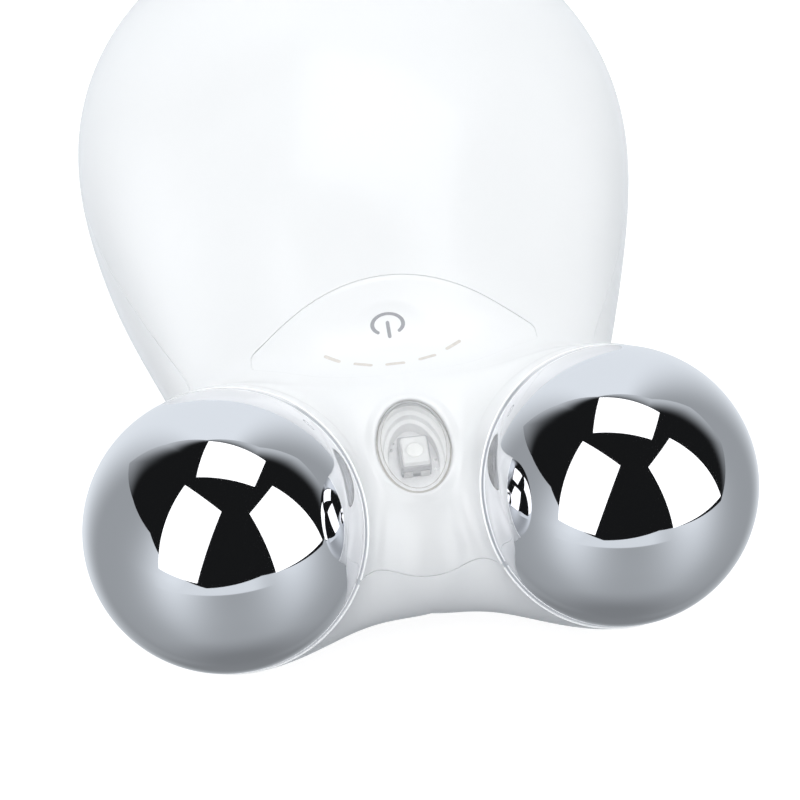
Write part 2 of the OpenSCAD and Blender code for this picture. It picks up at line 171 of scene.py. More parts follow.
def material(name, colour, rough=0.4, metal=0.0, vary=0.04, rough_vary=0.08, scale=900.0, bump=0.0,
             bump_scale=4000.0, stretch=(1, 1, 1), **sockets):
    """Principled material whose colour and roughness drift a little over the surface, with an optional fine bump."""
    m = bpy.data.materials.new(name)
    m.use_nodes = True
    nt = m.node_tree
    nt.nodes.clear()
    out = nt.nodes.new("ShaderNodeOutputMaterial")
    p = nt.nodes.new("ShaderNodeBsdfPrincipled")
    nt.links.new(p.outputs[0], out.inputs[0])
    tc = nt.nodes.new("ShaderNodeTexCoord")
    mp = nt.nodes.new("ShaderNodeMapping")
    mp.inputs["Scale"].default_value = stretch
    nt.links.new(tc.outputs["Object"], mp.inputs[0])
    no = nt.nodes.new("ShaderNodeTexNoise")
    no.inputs["Scale"].default_value = scale
    no.inputs["Detail"].default_value = 3.0
    nt.links.new(mp.outputs[0], no.inputs[0])
    ramp = nt.nodes.new("ShaderNodeValToRGB")
    lo = [max(0, c * (1 - vary)) for c in colour]
    hi = [min(1, c * (1 + vary)) for c in colour]
    ramp.color_ramp.elements[0].position, ramp.color_ramp.elements[1].position = 0.3, 0.7
    ramp.color_ramp.elements[0].color = (*lo, 1)
    ramp.color_ramp.elements[1].color = (*hi, 1)
    nt.links.new(no.outputs[0], ramp.inputs[0])
    nt.links.new(ramp.outputs[0], p.inputs["Base Color"])
    mr = nt.nodes.new("ShaderNodeMapRange")
    mr.inputs["To Min"].default_value = max(0.0, rough * (1 - rough_vary))
    mr.inputs["To Max"].default_value = min(1.0, rough * (1 + rough_vary))
    nt.links.new(no.outputs[0], mr.inputs[0])
    nt.links.new(mr.outputs[0], p.inputs["Roughness"])
    p.inputs["Metallic"].default_value = metal
    if bump:
        nb = nt.nodes.new("ShaderNodeTexNoise")
        nb.inputs["Scale"].default_value = bump_scale
        nb.inputs["Detail"].default_value = 2.0
        nt.links.new(mp.outputs[0], nb.inputs[0])
        bp = nt.nodes.new("ShaderNodeBump")
        bp.inputs["Strength"].default_value = bump
        bp.inputs["Distance"].default_value = 0.0001
        nt.links.new(nb.outputs[0], bp.inputs["Height"])
        nt.links.new(bp.outputs[0], p.inputs["Normal"])
    for k, v in sockets.items():
        p.inputs[k.replace("_", " ")].default_value = v
    return m


def clear_material(name, tint, gloss_rough=0.03, strength=0.6):
    """Thin clear plastic: see-through, with a mirror sheen that grows towards grazing angles."""
    m = bpy.data.materials.new(name)
    m.use_nodes = True
    nt = m.node_tree
    nt.nodes.clear()
    out = nt.nodes.new("ShaderNodeOutputMaterial")
    mix = nt.nodes.new("ShaderNodeMixShader")
    tr = nt.nodes.new("ShaderNodeBsdfTransparent")
    tr.inputs[0].default_value = (*tint, 1)
    gl = nt.nodes.new("ShaderNodeBsdfGlossy")
    gl.inputs["Color"].default_value = (0.95, 0.95, 0.97, 1)
    gl.inputs["Roughness"].default_value = gloss_rough
    fr = nt.nodes.new("ShaderNodeFresnel")
    fr.inputs[0].default_value = 1.45
    mu = nt.nodes.new("ShaderNodeMath")
    mu.operation = "MULTIPLY"
    mu.inputs[1].default_value = strength
    nt.links.new(fr.outputs[0], mu.inputs[0])
    nt.links.new(mu.outputs[0], mix.inputs[0])
    nt.links.new(tr.outputs[0], mix.inputs[1])
    nt.links.new(gl.outputs[0], mix.inputs[2])
    nt.links.new(mix.outputs[0], out.inputs[0])
    return m


M = {}
M["shell"] = material("moulded_white", (0.85, 0.868, 0.88), 0.34, vary=0.012, rough_vary=0.06, scale=60, bump=0.02, bump_scale=2500,
                      Coat_Weight=0.6, Coat_Roughness=0.11, Specular_IOR_Level=0.5, Subsurface_Weight=0.0)
# Cup walls and lands: the same white with a faint glow, painted light where the cup beside the ball lies in shade.
M["cup_wall"] = material("cup_inside_painted_glow", (0.85, 0.868, 0.88), 0.34, vary=0.012, rough_vary=0.06, scale=60, Coat_Weight=0.6,
                         Coat_Roughness=0.11, Emission_Color=(0.93, 0.96, 1.0, 1), Emission_Strength=0.18)
# Rim beads: white with a stronger glow, a painted highlight along each cup's edge.
M["cup_rim"] = material("rim_bead_painted_highlight", (0.86, 0.875, 0.885), 0.34, vary=0.012, rough_vary=0.06, scale=60, Coat_Weight=0.6,
                        Coat_Roughness=0.11, Emission_Color=(0.96, 0.98, 1.0, 1), Emission_Strength=0.3)
M["chrome"] = material("mirror_chrome", (0.90, 0.905, 0.93), 0.025, 1.0, vary=0.006, rough_vary=0.5, scale=150)
M["seal"] = material("black_rubber", (0.03, 0.03, 0.032), 0.7, vary=0.2, bump=0.3)
M["steel"] = material("zinc_steel", (0.62, 0.63, 0.65), 0.3, 1.0, vary=0.08, scale=2500, stretch=(1, 1, 8), bump=0.05)
M["brass"] = material("brass_terminal", (0.80, 0.62, 0.32), 0.28, 1.0, vary=0.08, scale=1800)
M["icon"] = material("icon_grey", (0.345, 0.355, 0.38), 0.45, vary=0.05, scale=3000)
M["bar"] = material("bar_warm_grey", (0.67, 0.645, 0.61), 0.4, vary=0.06, scale=3000, Coat_Weight=0.3)
M["glass"] = clear_material("clear_window", (0.985, 0.99, 0.99))
# Darker see-through tint for the lens rim: painted shade of the gap between lens and collar.
M["lens_edge"] = clear_material("lens_rim_painted_shade", (0.68, 0.66, 0.63), 0.15)
# Reflector and board inside the window glow faintly: painted light in the shaded recess.
M["bezel"] = material("reflector", (0.90, 0.90, 0.90), 0.3, vary=0.03, scale=700, bump=0.03, Coat_Weight=0.4,
                      Emission_Color=(0.95, 0.95, 0.97, 1), Emission_Strength=0.10)
M["board"] = material("white_mask_board_painted_glow", (0.86, 0.86, 0.87), 0.45, vary=0.04, scale=1500, bump=0.05,
                      Emission_Color=(0.95, 0.95, 0.97, 1), Emission_Strength=0.08)
# Lamp body and well glow faintly: painted light in the shaded window recess; the level lamps share the body material.
M["led_body_painted_glow"] = material("led_body_painted_glow", (0.90, 0.90, 0.90), 0.3, vary=0.02, scale=1500, Coat_Weight=0.3,
                         Emission_Color=(0.95, 0.95, 0.97, 1), Emission_Strength=0.02)
M["led_gel_painted_glow"] = material("led_gel_painted_glow", (0.93, 0.93, 0.92), 0.12, vary=0.03, scale=1500, Coat_Weight=0.8,
                        Emission_Color=(1.0, 0.99, 0.97, 1), Emission_Strength=0.06)
# Darker grey for the lamp's side wall and top edge: painted shade.
M["led_side_painted_shade"] = material("led_side_painted_shade", (0.60, 0.60, 0.62), 0.35, vary=0.03, scale=1500)
# Dark grey foot under the lamp body: painted shade beneath it.
M["led_foot_painted_shade"] = material("led_foot_painted_shade", (0.42, 0.43, 0.45), 0.35, vary=0.1, scale=1500)
M["tin"] = material("tinned_pad", (0.72, 0.72, 0.72), 0.25, 1.0, vary=0.1, scale=2500, bump=0.1)
M["pcb"] = material("green_board", (0.02, 0.16, 0.07), 0.35, vary=0.25, scale=350, Coat_Weight=0.5)
M["chip"] = material("black_epoxy", (0.02, 0.02, 0.022), 0.55, vary=0.2, scale=1200, bump=0.25)
M["ferrite"] = material("ferrite", (0.09, 0.085, 0.08), 0.6, vary=0.2, scale=900, bump=0.3)
M["can"] = material("sleeved_can", (0.35, 0.37, 0.44), 0.3, vary=0.08, scale=400, Coat_Weight=0.4)
M["cell"] = material("foil_pouch", (0.55, 0.56, 0.58), 0.3, 0.9, vary=0.1, scale=250, bump=0.4, bump_scale=500)
M["foam"] = material("black_foam", (0.03, 0.03, 0.03), 0.9, vary=0.3, bump=0.8, bump_scale=1500)
M["nylon"] = material("natural_nylon", (0.78, 0.74, 0.64), 0.5, vary=0.05, bump=0.1)
M["red_wire"] = material("red_insulation", (0.5, 0.02, 0.015), 0.45, vary=0.1)
M["black_wire"] = material("black_insulation", (0.02, 0.02, 0.02), 0.45, vary=0.1)
M["pad"] = material("soft_grey_rubber", (0.62, 0.62, 0.64), 0.65, vary=0.05, bump=0.25, bump_scale=3000)

CAD_MATERIALS = {
    "electrode_seals": "seal", "electrode_screws": "steel", "electrode_terminals": "brass", "electrode_leads": "red_wire",
    "tact_switch": "chip", "switch_plunger": "chip", "window_led_leads": "black_wire", "main_pcb": "pcb",
    "controller_chip": "chip", "level_leds": "led_body_painted_glow", "step_up_transformer": "ferrite", "inductor": "ferrite",
    "capacitor": "can", "buzzer": "chip", "battery_cell": "cell", "battery_foam_pad": "foam", "battery_connector": "nylon",
    "battery_leads": "red_wire", "charge_board": "pcb", "charge_socket": "steel", "charge_leads": "black_wire",
    "board_screws": "steel", "housing_screws": "steel", "screw_plugs": "pad", "belly_pad": "pad"}
for node, key in CAD_MATERIALS.items():
    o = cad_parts[node]
    o.data.materials.clear()
    o.data.materials.append(M[key])


# ------------------------------------------------------------ mesh helpers
def raw_object(name, verts, faces):
    """Mesh object from head-frame millimetres, with no body or material yet."""
    me = bpy.data.meshes.new(name)
    me.from_pydata(place(np.asarray(verts, float)).tolist(), [], [list(map(int, f)) for f in faces])
    me.update()
    o = bpy.data.objects.new(name, me)
    bpy.context.scene.collection.objects.link(o)
    return o


def finish_piece(o, mat, body, nodes=()):
    o.data.materials.clear()
    o.data.materials.append(mat)
    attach(o, body)
    if nodes:
        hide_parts(*nodes)
    return o


def smooth(o, angle=None):
    me = o.data
    me.polygons.foreach_set("use_smooth", [True] * len(me.polygons))
    if angle is not None:
        bm = bmesh.new()
        bm.from_mesh(me)
        lim = math.radians(angle)
        for e in bm.edges:
            e.smooth = not (len(e.link_faces) == 2 and e.calc_face_angle(0) > lim)
        bm.to_mesh(me)
        bm.free()
    me.update()


def fix_normals(o):
    bm = bmesh.new()
    bm.from_mesh(o.data)
    bmesh.ops.recalc_face_normals(bm, faces=bm.faces)
    bm.to_mesh(o.data)
    bm.free()


def grid_faces(rows, cols, close_cols=False, close_rows=False, off=0):
    f = []
    nc = cols if close_cols else cols - 1
    nr = rows if close_rows else rows - 1
    for i in range(nr):
        for j in range(nc):
            a, b = off + i * cols + j, off + i * cols + (j + 1) % cols
            c, d = off + ((i + 1) % rows) * cols + (j + 1) % cols, off + ((i + 1) % rows) * cols + j
            f.append((a, b, c, d))
    return f


def wind(verts, faces, norms):
    """Faces turned so that each agrees with the normals of its corners."""
    out = []
    for f in faces:
        p = verts[list(f)]
        n = np.cross(p, np.roll(p, -1, 0)).sum(0)
        out.append(tuple(f) if n @ norms[list(f)].sum(0) >= 0 else tuple(f[::-1]))
    return out


def sweep(points, radius, sides=10, closed=True, squash=None):
    """Tube along points; returns verts, faces and outward normals."""
    p = np.asarray(points, float)
    n = len(p)
    t = np.roll(p, -1, 0) - np.roll(p, 1, 0) if closed else np.gradient(p, axis=0)
    t /= np.linalg.norm(t, axis=1, keepdims=True)
    ref = np.array([0.31, 0.22, 0.92])
    u = np.cross(t, ref)
    u /= np.linalg.norm(u, axis=1, keepdims=True)
    v = np.cross(t, u)
    a = np.linspace(0, 2 * math.pi, sides, endpoint=False)
    nrm = np.cos(a)[None, :, None] * u[:, None] + np.sin(a)[None, :, None] * v[:, None]
    verts = (p[:, None] + radius * nrm).reshape(-1, 3)
    faces = grid_faces(n, sides, True, closed)
    if not closed:
        faces.append(tuple(range(sides)))
        faces.append(tuple((n - 1) * sides + k for k in range(sides)))
    return verts, faces, nrm.reshape(-1, 3)


def prism(outline, z0, z1, fr=HEAD):
    """Closed prism over an outline of (x, y) in a local frame."""
    o = np.asarray(outline, float)
    n = len(o)
    low = np.c_[o, np.full(n, float(z0))]
    high = np.c_[o, np.full(n, float(z1))]
    c0, c1 = o.mean(0), o.mean(0)
    verts = fr.out(np.vstack([low, high, [[*c0, z0]], [[*c1, z1]]]))
    f = [(i, (i + 1) % n, n + (i + 1) % n, n + i) for i in range(n)]
    f += [((i + 1) % n, i, 2 * n) for i in range(n)]
    f += [(n + i, n + (i + 1) % n, 2 * n + 1) for i in range(n)]
    return verts, f


def ring_outline(r, n=160, cx=0.0, cy=0.0):
    a = np.linspace(0, 2 * math.pi, n, endpoint=False)
    return np.c_[cx + r * np.cos(a), cy + r * np.sin(a)]


def ball_mesh(r, c, nu=128, nv=80):
    v = [(0, 0, r)]
    for i in range(1, nv):
        t = math.pi * i / nv
        for j in range(nu):
            a = 2 * math.pi * j / nu
            v.append((r * math.sin(t) * math.cos(a), r * math.sin(t) * math.sin(a), r * math.cos(t)))
    v.append((0, 0, -r))
    f = []
    last = len(v) - 1
    for j in range(nu):
        f.append((0, 1 + j, 1 + (j + 1) % nu))
        b = 1 + (nv - 2) * nu
        f.append((last, b + (j + 1) % nu, b + j))
    for i in range(nv - 2):
        for j in range(nu):
            a = 1 + i * nu
            f.append((a + j, a + nu + j, a + nu + (j + 1) % nu, a + (j + 1) % nu))
    return np.array(v) + np.array(c), f


def box_mesh(x0, x1, y0, y1, z0, z1, fr=HEAD):
    return prism([(x0, y0), (x1, y0), (x1, y1), (x0, y1)], z0, z1, fr)


def cutter(verts, faces):
    o = raw_object("cutter", verts, faces)
    fix_normals(o)
    return o


def carve(o, tools, op="DIFFERENCE"):
    for t in tools:
        for solver in ("MANIFOLD", "EXACT"):
            m = o.modifiers.new("cut", "BOOLEAN")
            m.operation = op
            m.solver = solver
            m.object = t
            dg = bpy.context.evaluated_depsgraph_get()
            me = bpy.data.meshes.new_from_object(o.evaluated_get(dg))
            o.modifiers.clear()
            if len(me.polygons) > 10 and not (len(me.polygons) == len(o.data.polygons) and solver == "MANIFOLD"):
                old = o.data
                o.data = me
                bpy.data.meshes.remove(old)
                break
            bpy.data.meshes.remove(me)
        bpy.data.objects.remove(t)
    return o


# --------------------------------------------------------------- the shells
def skin_mesh(lv, nt, npf, s):
    """Closed solid inside the skin offset by lv; s 1 upper half, -1 lower half, 0 whole."""
    full = s == 0
    cols = 2 * npf if full else npf + 1
    th = np.pi * np.arange(0, nt + 1) / nt
    spine = np.stack([np.zeros(nt + 1), 12 + 40 * ((1 - np.cos(th)) / 2) ** 3, np.full(nt + 1, PART_Z)], -1)
    j = np.arange(cols)
    f = (-1 if s < 0 else 1) * np.pi * j / npf
    T, F = np.meshgrid(th[1:-1], f, indexing="ij")
    sinf = np.where(j % npf == 0, 0.0, np.sin(f))[None, :]
    d = np.stack([np.sin(T) * np.cos(F), -np.cos(T), np.sin(T) * sinf], -1)
    o = np.broadcast_to(spine[1:-1, None], d.shape)
    r = root(o, d, 0, 60, lv)
    body = (o + r[..., None] * d).reshape(-1, 3)
    p0 = spine[0] + root(spine[0], np.array([0, -1.0, 0]), 0, 60, lv) * np.array([0, -1.0, 0])
    p1 = spine[-1] + root(spine[-1], np.array([0, 1.0, 0]), 0, 60, lv) * np.array([0, 1.0, 0])
    m0 = -(-nt // 3)
    verts = [p0[None], body, p1[None]]
    if not full:
        verts.append(spine[m0:nt])
    verts = np.vstack(verts)
    last = 1 + (nt - 1) * cols

    def vid(i, j):
        return 0 if i == 0 else last if i == nt else 1 + (i - 1) * cols + (j % cols if full else j)

    def mid(i):
        return last + 1 + max(0, min(nt - 1, i) - m0)

    faces = []
    for i in range(nt):
        for j in range(cols if full else npf):
            a, b, c, e = vid(i, j), vid(i, j + 1), vid(i + 1, j + 1), vid(i + 1, j)
            if i == 0:
                faces.append((a, c, e))
            elif i == nt - 1:
                faces.append((a, b, c))
            else:
                faces.append((a, b, c, e))
        if not full:
            a, b, e, g, c, d2 = vid(i, 0), vid(i + 1, 0), vid(i, npf), vid(i + 1, npf), mid(i), mid(i + 1)
            faces += [(a, b, c), (e, c, g)]
            if c != d2:
                faces += [(b, d2, c), (g, c, d2)]
    return verts, faces


def settle(g, steps):
    """Evens a grid out over the skin: each point moves to the middle of its neighbours, then back to the surface."""
    def pull(q, flat):
        for _ in range(2):
            e = 0.01 * np.eye(3)
            d = np.stack([(skin(q + e[k]) - skin(q - e[k])) / 0.02 for k in range(3)], -1)
            if flat:
                d[..., 2] = 0
            st = skin(q) / np.maximum((d * d).sum(-1), 0.05)
            q = q - np.clip(st, -0.6, 0.6)[..., None] * d
        return q
    for _ in range(steps):
        m = g.copy()
        m[1:-1, 1:-1] = (g[:-2, 1:-1] + g[2:, 1:-1] + g[1:-1, :-2] + g[1:-1, 2:]) / 4
        for j in (0, -1):
            m[1:-1, j] = (g[:-2, j] + g[2:, j]) / 2
        g[1:-1] += 0.7 * (m[1:-1] - g[1:-1])
        g[1:-1, 1:-1] = pull(g[1:-1, 1:-1], False)
        for j in (0, -1):
            g[1:-1, j] = pull(g[1:-1, j], True)
            g[1:-1, j, 2] = PART_Z
    return g


def double(g):
    a = np.empty((2 * g.shape[0] - 1, g.shape[1], 3))
    a[::2], a[1::2] = g, (g[:-1] + g[1:]) / 2
    b = np.empty((a.shape[0], 2 * g.shape[1] - 1, 3))
    b[:, ::2], b[:, 1::2] = a, (a[:, :-1] + a[:, 1:]) / 2
    return b


def even_skin(nt, npf, s):
    """skin_mesh for one half, with its grid spread evenly (rays from the spine miss the hollows beside the cups)."""
    v0, _ = skin_mesh(0.0, nt // 4, npf // 4, s)
    c = npf // 4 + 1
    r = nt // 4
    g = np.empty((r + 1, c, 3))
    g[0], g[-1] = v0[0], v0[1 + (r - 1) * c]
    g[1:-1] = v0[1:1 + (r - 1) * c].reshape(r - 1, c, 3)
    g = settle(g, 110)
    g = settle(double(g), 16)
    g = settle(double(g), 4)
    v, f = skin_mesh(0.0, nt, npf, s)
    v = v.copy()
    v[1:1 + (nt - 1) * (npf + 1)] = g[1:-1].reshape(-1, 3)
    return v, f


def parting_curve(n=360, lift=0.0):
    """Outline of the skin in the parting plane, a closed loop."""
    t = np.linspace(0, 2 * np.pi, n, endpoint=False)
    th = np.where(t > np.pi, 2 * np.pi - t, t)
    sgn = np.where(t > np.pi, -1.0, 1.0)
    o = np.stack([np.zeros(n), 12 + 40 * ((1 - np.cos(th)) / 2) ** 3, np.full(n, PART_Z)], -1)
    d = np.stack([np.sin(th) * sgn, -np.cos(th), np.zeros(n)], -1)
    return o + root(o, d)[..., None] * d


def key_outline(g=0.0, n_arc=90, r=0.9, low=0.0):
    """Outline of the power key, with rounded tips: arcs of radius 23 behind and 23.4 in front, sides at 13.33."""
    hw, back, front = 13.33 - g, 24.3 - g, 13.9 + g + low
    rb, rf = 23.0 - g, 23.4 - g - low
    cb, cf = 24.3 - 23.0, 13.9 + 23.4
    rr = max(0.05, r - g)
    # upper corner: inside the side line and inside the back arc
    ux = hw - rr
    uy = cb + math.sqrt((rb - rr) ** 2 - ux ** 2)
    ly = cf - math.sqrt((rf - rr) ** 2 - ux ** 2)
    pts = []
    a1 = math.atan2(uy - cb, ux)
    for k in range(n_arc + 1):  # back arc, right to left
        a = a1 + (math.pi - 2 * a1) * k / n_arc
        pts.append((rb * math.cos(a), cb + rb * math.sin(a)))
    for k in range(1, 13):  # upper left corner
        a = (math.pi - a1) + a1 * k / 12
        pts.append((-ux + rr * math.cos(a), uy + rr * math.sin(a)))
    a2 = math.atan2(cf - ly, ux)
    for k in range(0, 13):  # lower left corner
        a = math.pi + a2 * k / 12
        pts.append((-ux + rr * math.cos(a), ly + rr * math.sin(a)))
    for k in range(1, n_arc + 1):  # front arc, left to right
        a = math.pi + a2 + (math.pi - 2 * a2) * k / n_arc
        pts.append((rf * math.cos(a), cf + rf * math.sin(a)))
    for k in range(1, 13):
        a = 2 * math.pi - a2 + a2 * k / 12
        pts.append((ux + rr * math.cos(a), ly + rr * math.sin(a)))
    for k in range(0, 12):
        a = a1 * k / 12
        pts.append((ux + rr * math.cos(a), uy + rr * math.sin(a)))
    return np.array(pts)


def obround(w, h, n=16):
    p = []
    for s in (0, 1):
        for k in range(n + 1):
            a = math.radians(-90 + 180 * s + 180 * k / n)
            p.append(((1 - 2 * s) * (w - h) / 2 + h / 2 * math.cos(a), h / 2 * math.sin(a)))
    return np.array(p)


PORT = Frame((0, 0, PART_Z), rot_x(90))  # local z runs to -Y


def oval_ring(e, n=160, a=WIN_A, b=WIN_B):
    """Window outline moved outwards by e, as local (x, y)."""
    t = np.linspace(0, 2 * np.pi, n, endpoint=False)
    nx, ny = np.cos(t) / a, np.sin(t) / b
    k = np.hypot(nx, ny)
    return np.c_[a * np.cos(t) + e * nx / k, b * np.sin(t) + e * ny / k]


def win_skin(xy):
    """Height above the window frame's plane of the skin over local points."""
    xy = np.asarray(xy, float)
    o = WIN.out(np.concatenate([xy, np.full(xy.shape[:-1] + (1,), -2.2)], -1))
    return root(o, WIN.vec([0, 0, 1.0]), 0, 12, 0, 30) - 2.2


def shell_normals(o, extra=None):
    """Exact normals on the skin, the sockets and the cup lands, and plain ones elsewhere."""
    me = o.data
    nl = len(me.loops)
    vi = np.zeros(nl, np.int32)
    me.loops.foreach_get("vertex_index", vi)
    co = np.zeros(len(me.vertices) * 3)
    me.vertices.foreach_get("co", co)
    h = unplace(co.reshape(-1, 3))
    pn = np.zeros(len(me.polygons) * 3)
    me.polygons.foreach_get("normal", pn)
    pn = unturn(pn.reshape(-1, 3))
    tot = np.zeros(len(me.polygons), np.int32)
    me.polygons.foreach_get("loop_total", tot)
    pid = np.repeat(np.arange(len(tot)), tot)
    cen = np.zeros((len(tot), 3))
    np.add.at(cen, pid, h[vi])
    cen /= tot[:, None]
    res = pn[pid].copy()
    g = grad(h)
    onskin = (np.abs(skin(cen)) < 0.03) & ((grad(cen) * pn).sum(-1) > 0.8)
    res[onskin[pid]] = g[vi][onskin[pid]]
    for k in (-1, 1):
        c = np.array([k * PX, 0, 0])
        q = cen - c
        dist = np.linalg.norm(q, axis=-1)
        m = (np.abs(dist - SOCKET_R) < 0.02) & ~onskin
        hv = h[vi] - c
        res[m[pid]] = (-hv / np.linalg.norm(hv, axis=-1, keepdims=True))[m[pid]]
        l = CUP[k].back(cen)
        m2 = (np.abs(np.hypot(l[:, 0], l[:, 1]) - LAND_R) < 0.02) & ~onskin & ~m & (np.abs(pn @ CUP[k].r[:, 2]) < 0.3)
        lv = CUP[k].back(h[vi])
        rad = np.stack([-lv[:, 0], -lv[:, 1], np.zeros(len(lv))], -1)
        rad /= np.maximum(np.linalg.norm(rad, axis=-1, keepdims=True), 1e-9)
        res[m2[pid]] = CUP[k].vec(rad)[m2[pid]]
    if extra is not None:
        res = extra(res, h, vi, cen, pn, pid)
    me.polygons.foreach_set("use_smooth", [True] * len(tot))
    me.normals_split_custom_set(turn(res).tolist())


def glow_faces_in_cups(o):
    """1 for each face of a cup's inside that a gap beside the ball can show, else 0; these faces take the faintly
    glowing cup material, painted light in the shaded cup.
    """
    me = o.data
    c = np.zeros(len(me.polygons) * 3)
    me.polygons.foreach_get("center", c)
    c = unplace(c.reshape(-1, 3))
    near = np.zeros(len(c), bool)
    for k in (-1, 1):
        l = CUP[k].back(c)
        near |= (np.linalg.norm(l, axis=1) < LAND_R + 1.2) & (np.hypot(l[:, 0], l[:, 1]) < LAND_R + 0.02) & (l[:, 2] > -2.5)
    return (near & (skin(c) < -0.03)).astype(np.int32)


def unturn(v):
    v = np.asarray(v, float)
    return np.stack([v[..., 0], v[..., 1] * CP + v[..., 2] * SP, -v[..., 1] * SP + v[..., 2] * CP], -1)


def add_parts(o, parts):
    """Joins swept edges to a shell, keeping its normals: parts is a list of (verts, faces, normals)."""
    me = o.data
    base = []
    for p in parts:
        b = bpy.data.meshes.new("edge")
        b.from_pydata(place(p[0]).tolist(), [], [list(f) for f in wind(p[0], p[1], p[2])])
        b.polygons.foreach_set("use_smooth", [True] * len(b.polygons))
        b.normals_split_custom_set_from_vertices(turn(p[2]).tolist())
        q = bpy.data.objects.new("edge", b)
        bpy.context.scene.collection.objects.link(q)
        base.append(q)
    with bpy.context.temp_override(active_object=o, selected_editable_objects=[o] + base, object=o, selected_objects=[o] + base):
        bpy.ops.object.join()
    return o


NT, NP = ((340, 200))
SOCKET_R, LAND_R, LAND_S = 12.515, 12.67, -1.2


def hollow_tool(s):
    v, f = skin_mesh(-2.0, 70, 40, 0)
    o = cutter(v, f)
    keep = []
    for k in (-1, 1):
        keep.append(cutter(*ball_mesh(14.6, (k * PX, 0, 0), 96, 60)))
        for x, y in SCREWS:
            keep.append(cutter(*prism(ring_outline(3.0 if s > 0 else 3.3, 48, k * x, y), PART_Z - (0 if s > 0 else 40), PART_Z + (40 if s > 0 else 0))))
        if s > 0:
            for x, y in BOARD_HOLES:
                keep.append(cutter(*prism(ring_outline(2.4, 48, k * x, y), -1.3, 40)))
        else:
            keep.append(cutter(*prism(ring_outline(3.6, 48), -15.2, -12, STUD[k])))
            keep.append(cutter(*box_mesh(k * 14.1 - 0.7, k * 14.1 + 0.7, 46, 66, -40, -9)))
            keep.append(cutter(*prism(ring_outline(2.0, 48, k * 5.5, 75), -40, -5.25)))
    if s < 0:
        keep.append(cutter(*box_mesh(-20, 20, 35, 72, -40, -12.3, REST)))
    return carve(o, keep)


def shell(s):
    v, f = even_skin(NT, NP, s) if s > 0 else skin_mesh(0.0, NT, NP, s)
    o = raw_object("top_housing" if s > 0 else "bottom_housing", v, f)
    fix_normals(o)
    tools = [hollow_tool(s)]
    for k in (-1, 1):
        tools.append(cutter(*ball_mesh(SOCKET_R, (k * PX, 0, 0), 192, 120)))
        tools.append(cutter(*prism(ring_outline(LAND_R, 300), LAND_S, 9, CUP[k])))
        tools.append(cutter(*prism(ring_outline(4.6, 64), -12.75, -10, STUD[k])))
        if s < 0:
            tools.append(cutter(*prism(ring_outline(1.7, 32), -17, -10, STUD[k])))
        for x, y in SCREWS:
            if s > 0:
                tools.append(cutter(*prism(ring_outline(0.95, 24, k * x, y), -5, 5)))
            else:
                tools.append(cutter(*prism(ring_outline(1.2, 32, k * x, y), -12, 0)))
                tools.append(cutter(*prism(ring_outline(2.2, 64, k * x, y), -40, -10)))
    tools.append(cutter(*prism(obround(9.6, 3.9), -92, -80, PORT)))
    if s > 0:
        tools.append(cutter(*prism(oval_ring(0.25), -3, 6, WIN)))
        tools.append(cutter(*prism(oval_ring(0.65), -6.5, -0.9, WIN)))
        tools.append(cutter(*prism(key_outline(0.0), -2, 14)))
    else:
        tools.append(cutter(*box_mesh(-40, 40, 30, 90, -30, REST_Z + 0.3, REST)))
        tools.append(cutter(*prism(ring_outline(7.6, 96, 0, 53.75), -20, REST_Z + 0.8, REST)))
    # the fine groove where the halves meet
    c = parting_curve(720)
    gr = grad(c)
    side = np.cross(gr, np.roll(c, -1, 0) - np.roll(c, 1, 0))
    side /= np.linalg.norm(side, axis=1, keepdims=True)
    prof = [(0.25, 0.105), (0.25, -0.105), (-0.13, -0.012), (-0.13, 0.012)]
    rows = np.stack([c + gr * a + side * b for a, b in prof], 1).reshape(-1, 3)
    tools.append(cutter(rows, grid_faces(720, 4, True, True)))
    carve(o, tools)
    shell_normals(o)
    return o


def cup_edge(k, n=360):
    """The cup's outer edge: on the land plane where the skin is lower, on the r 13.1 wall where it is higher."""
    t = np.linspace(0, 2 * np.pi, n, endpoint=False)
    d = np.stack([np.cos(t), np.sin(t), np.zeros(n)], -1)
    o = CUP[k].out(np.stack([d[:, 0] * 9, d[:, 1] * 9, np.full(n, LAND_S)], -1))
    r = 9 + root(o, CUP[k].vec(d), 0, 8)
    wall = r > LAND_R
    pts = CUP[k].out(np.stack([d[:, 0] * np.minimum(r, LAND_R), d[:, 1] * np.minimum(r, LAND_R), np.full(n, LAND_S)], -1))
    o2 = CUP[k].out(np.stack([d[:, 0] * LAND_R, d[:, 1] * LAND_R, np.full(n, LAND_S)], -1))
    s = root(o2, CUP[k].vec([0, 0, 1.0]), 0, 12)
    up = CUP[k].out(np.stack([d[:, 0] * LAND_R, d[:, 1] * LAND_R, LAND_S + s], -1))
    pts[wall] = up[wall]
    return pts, t, wall, np.minimum(r, LAND_R) - math.sqrt(SOCKET_R ** 2 - LAND_S ** 2)


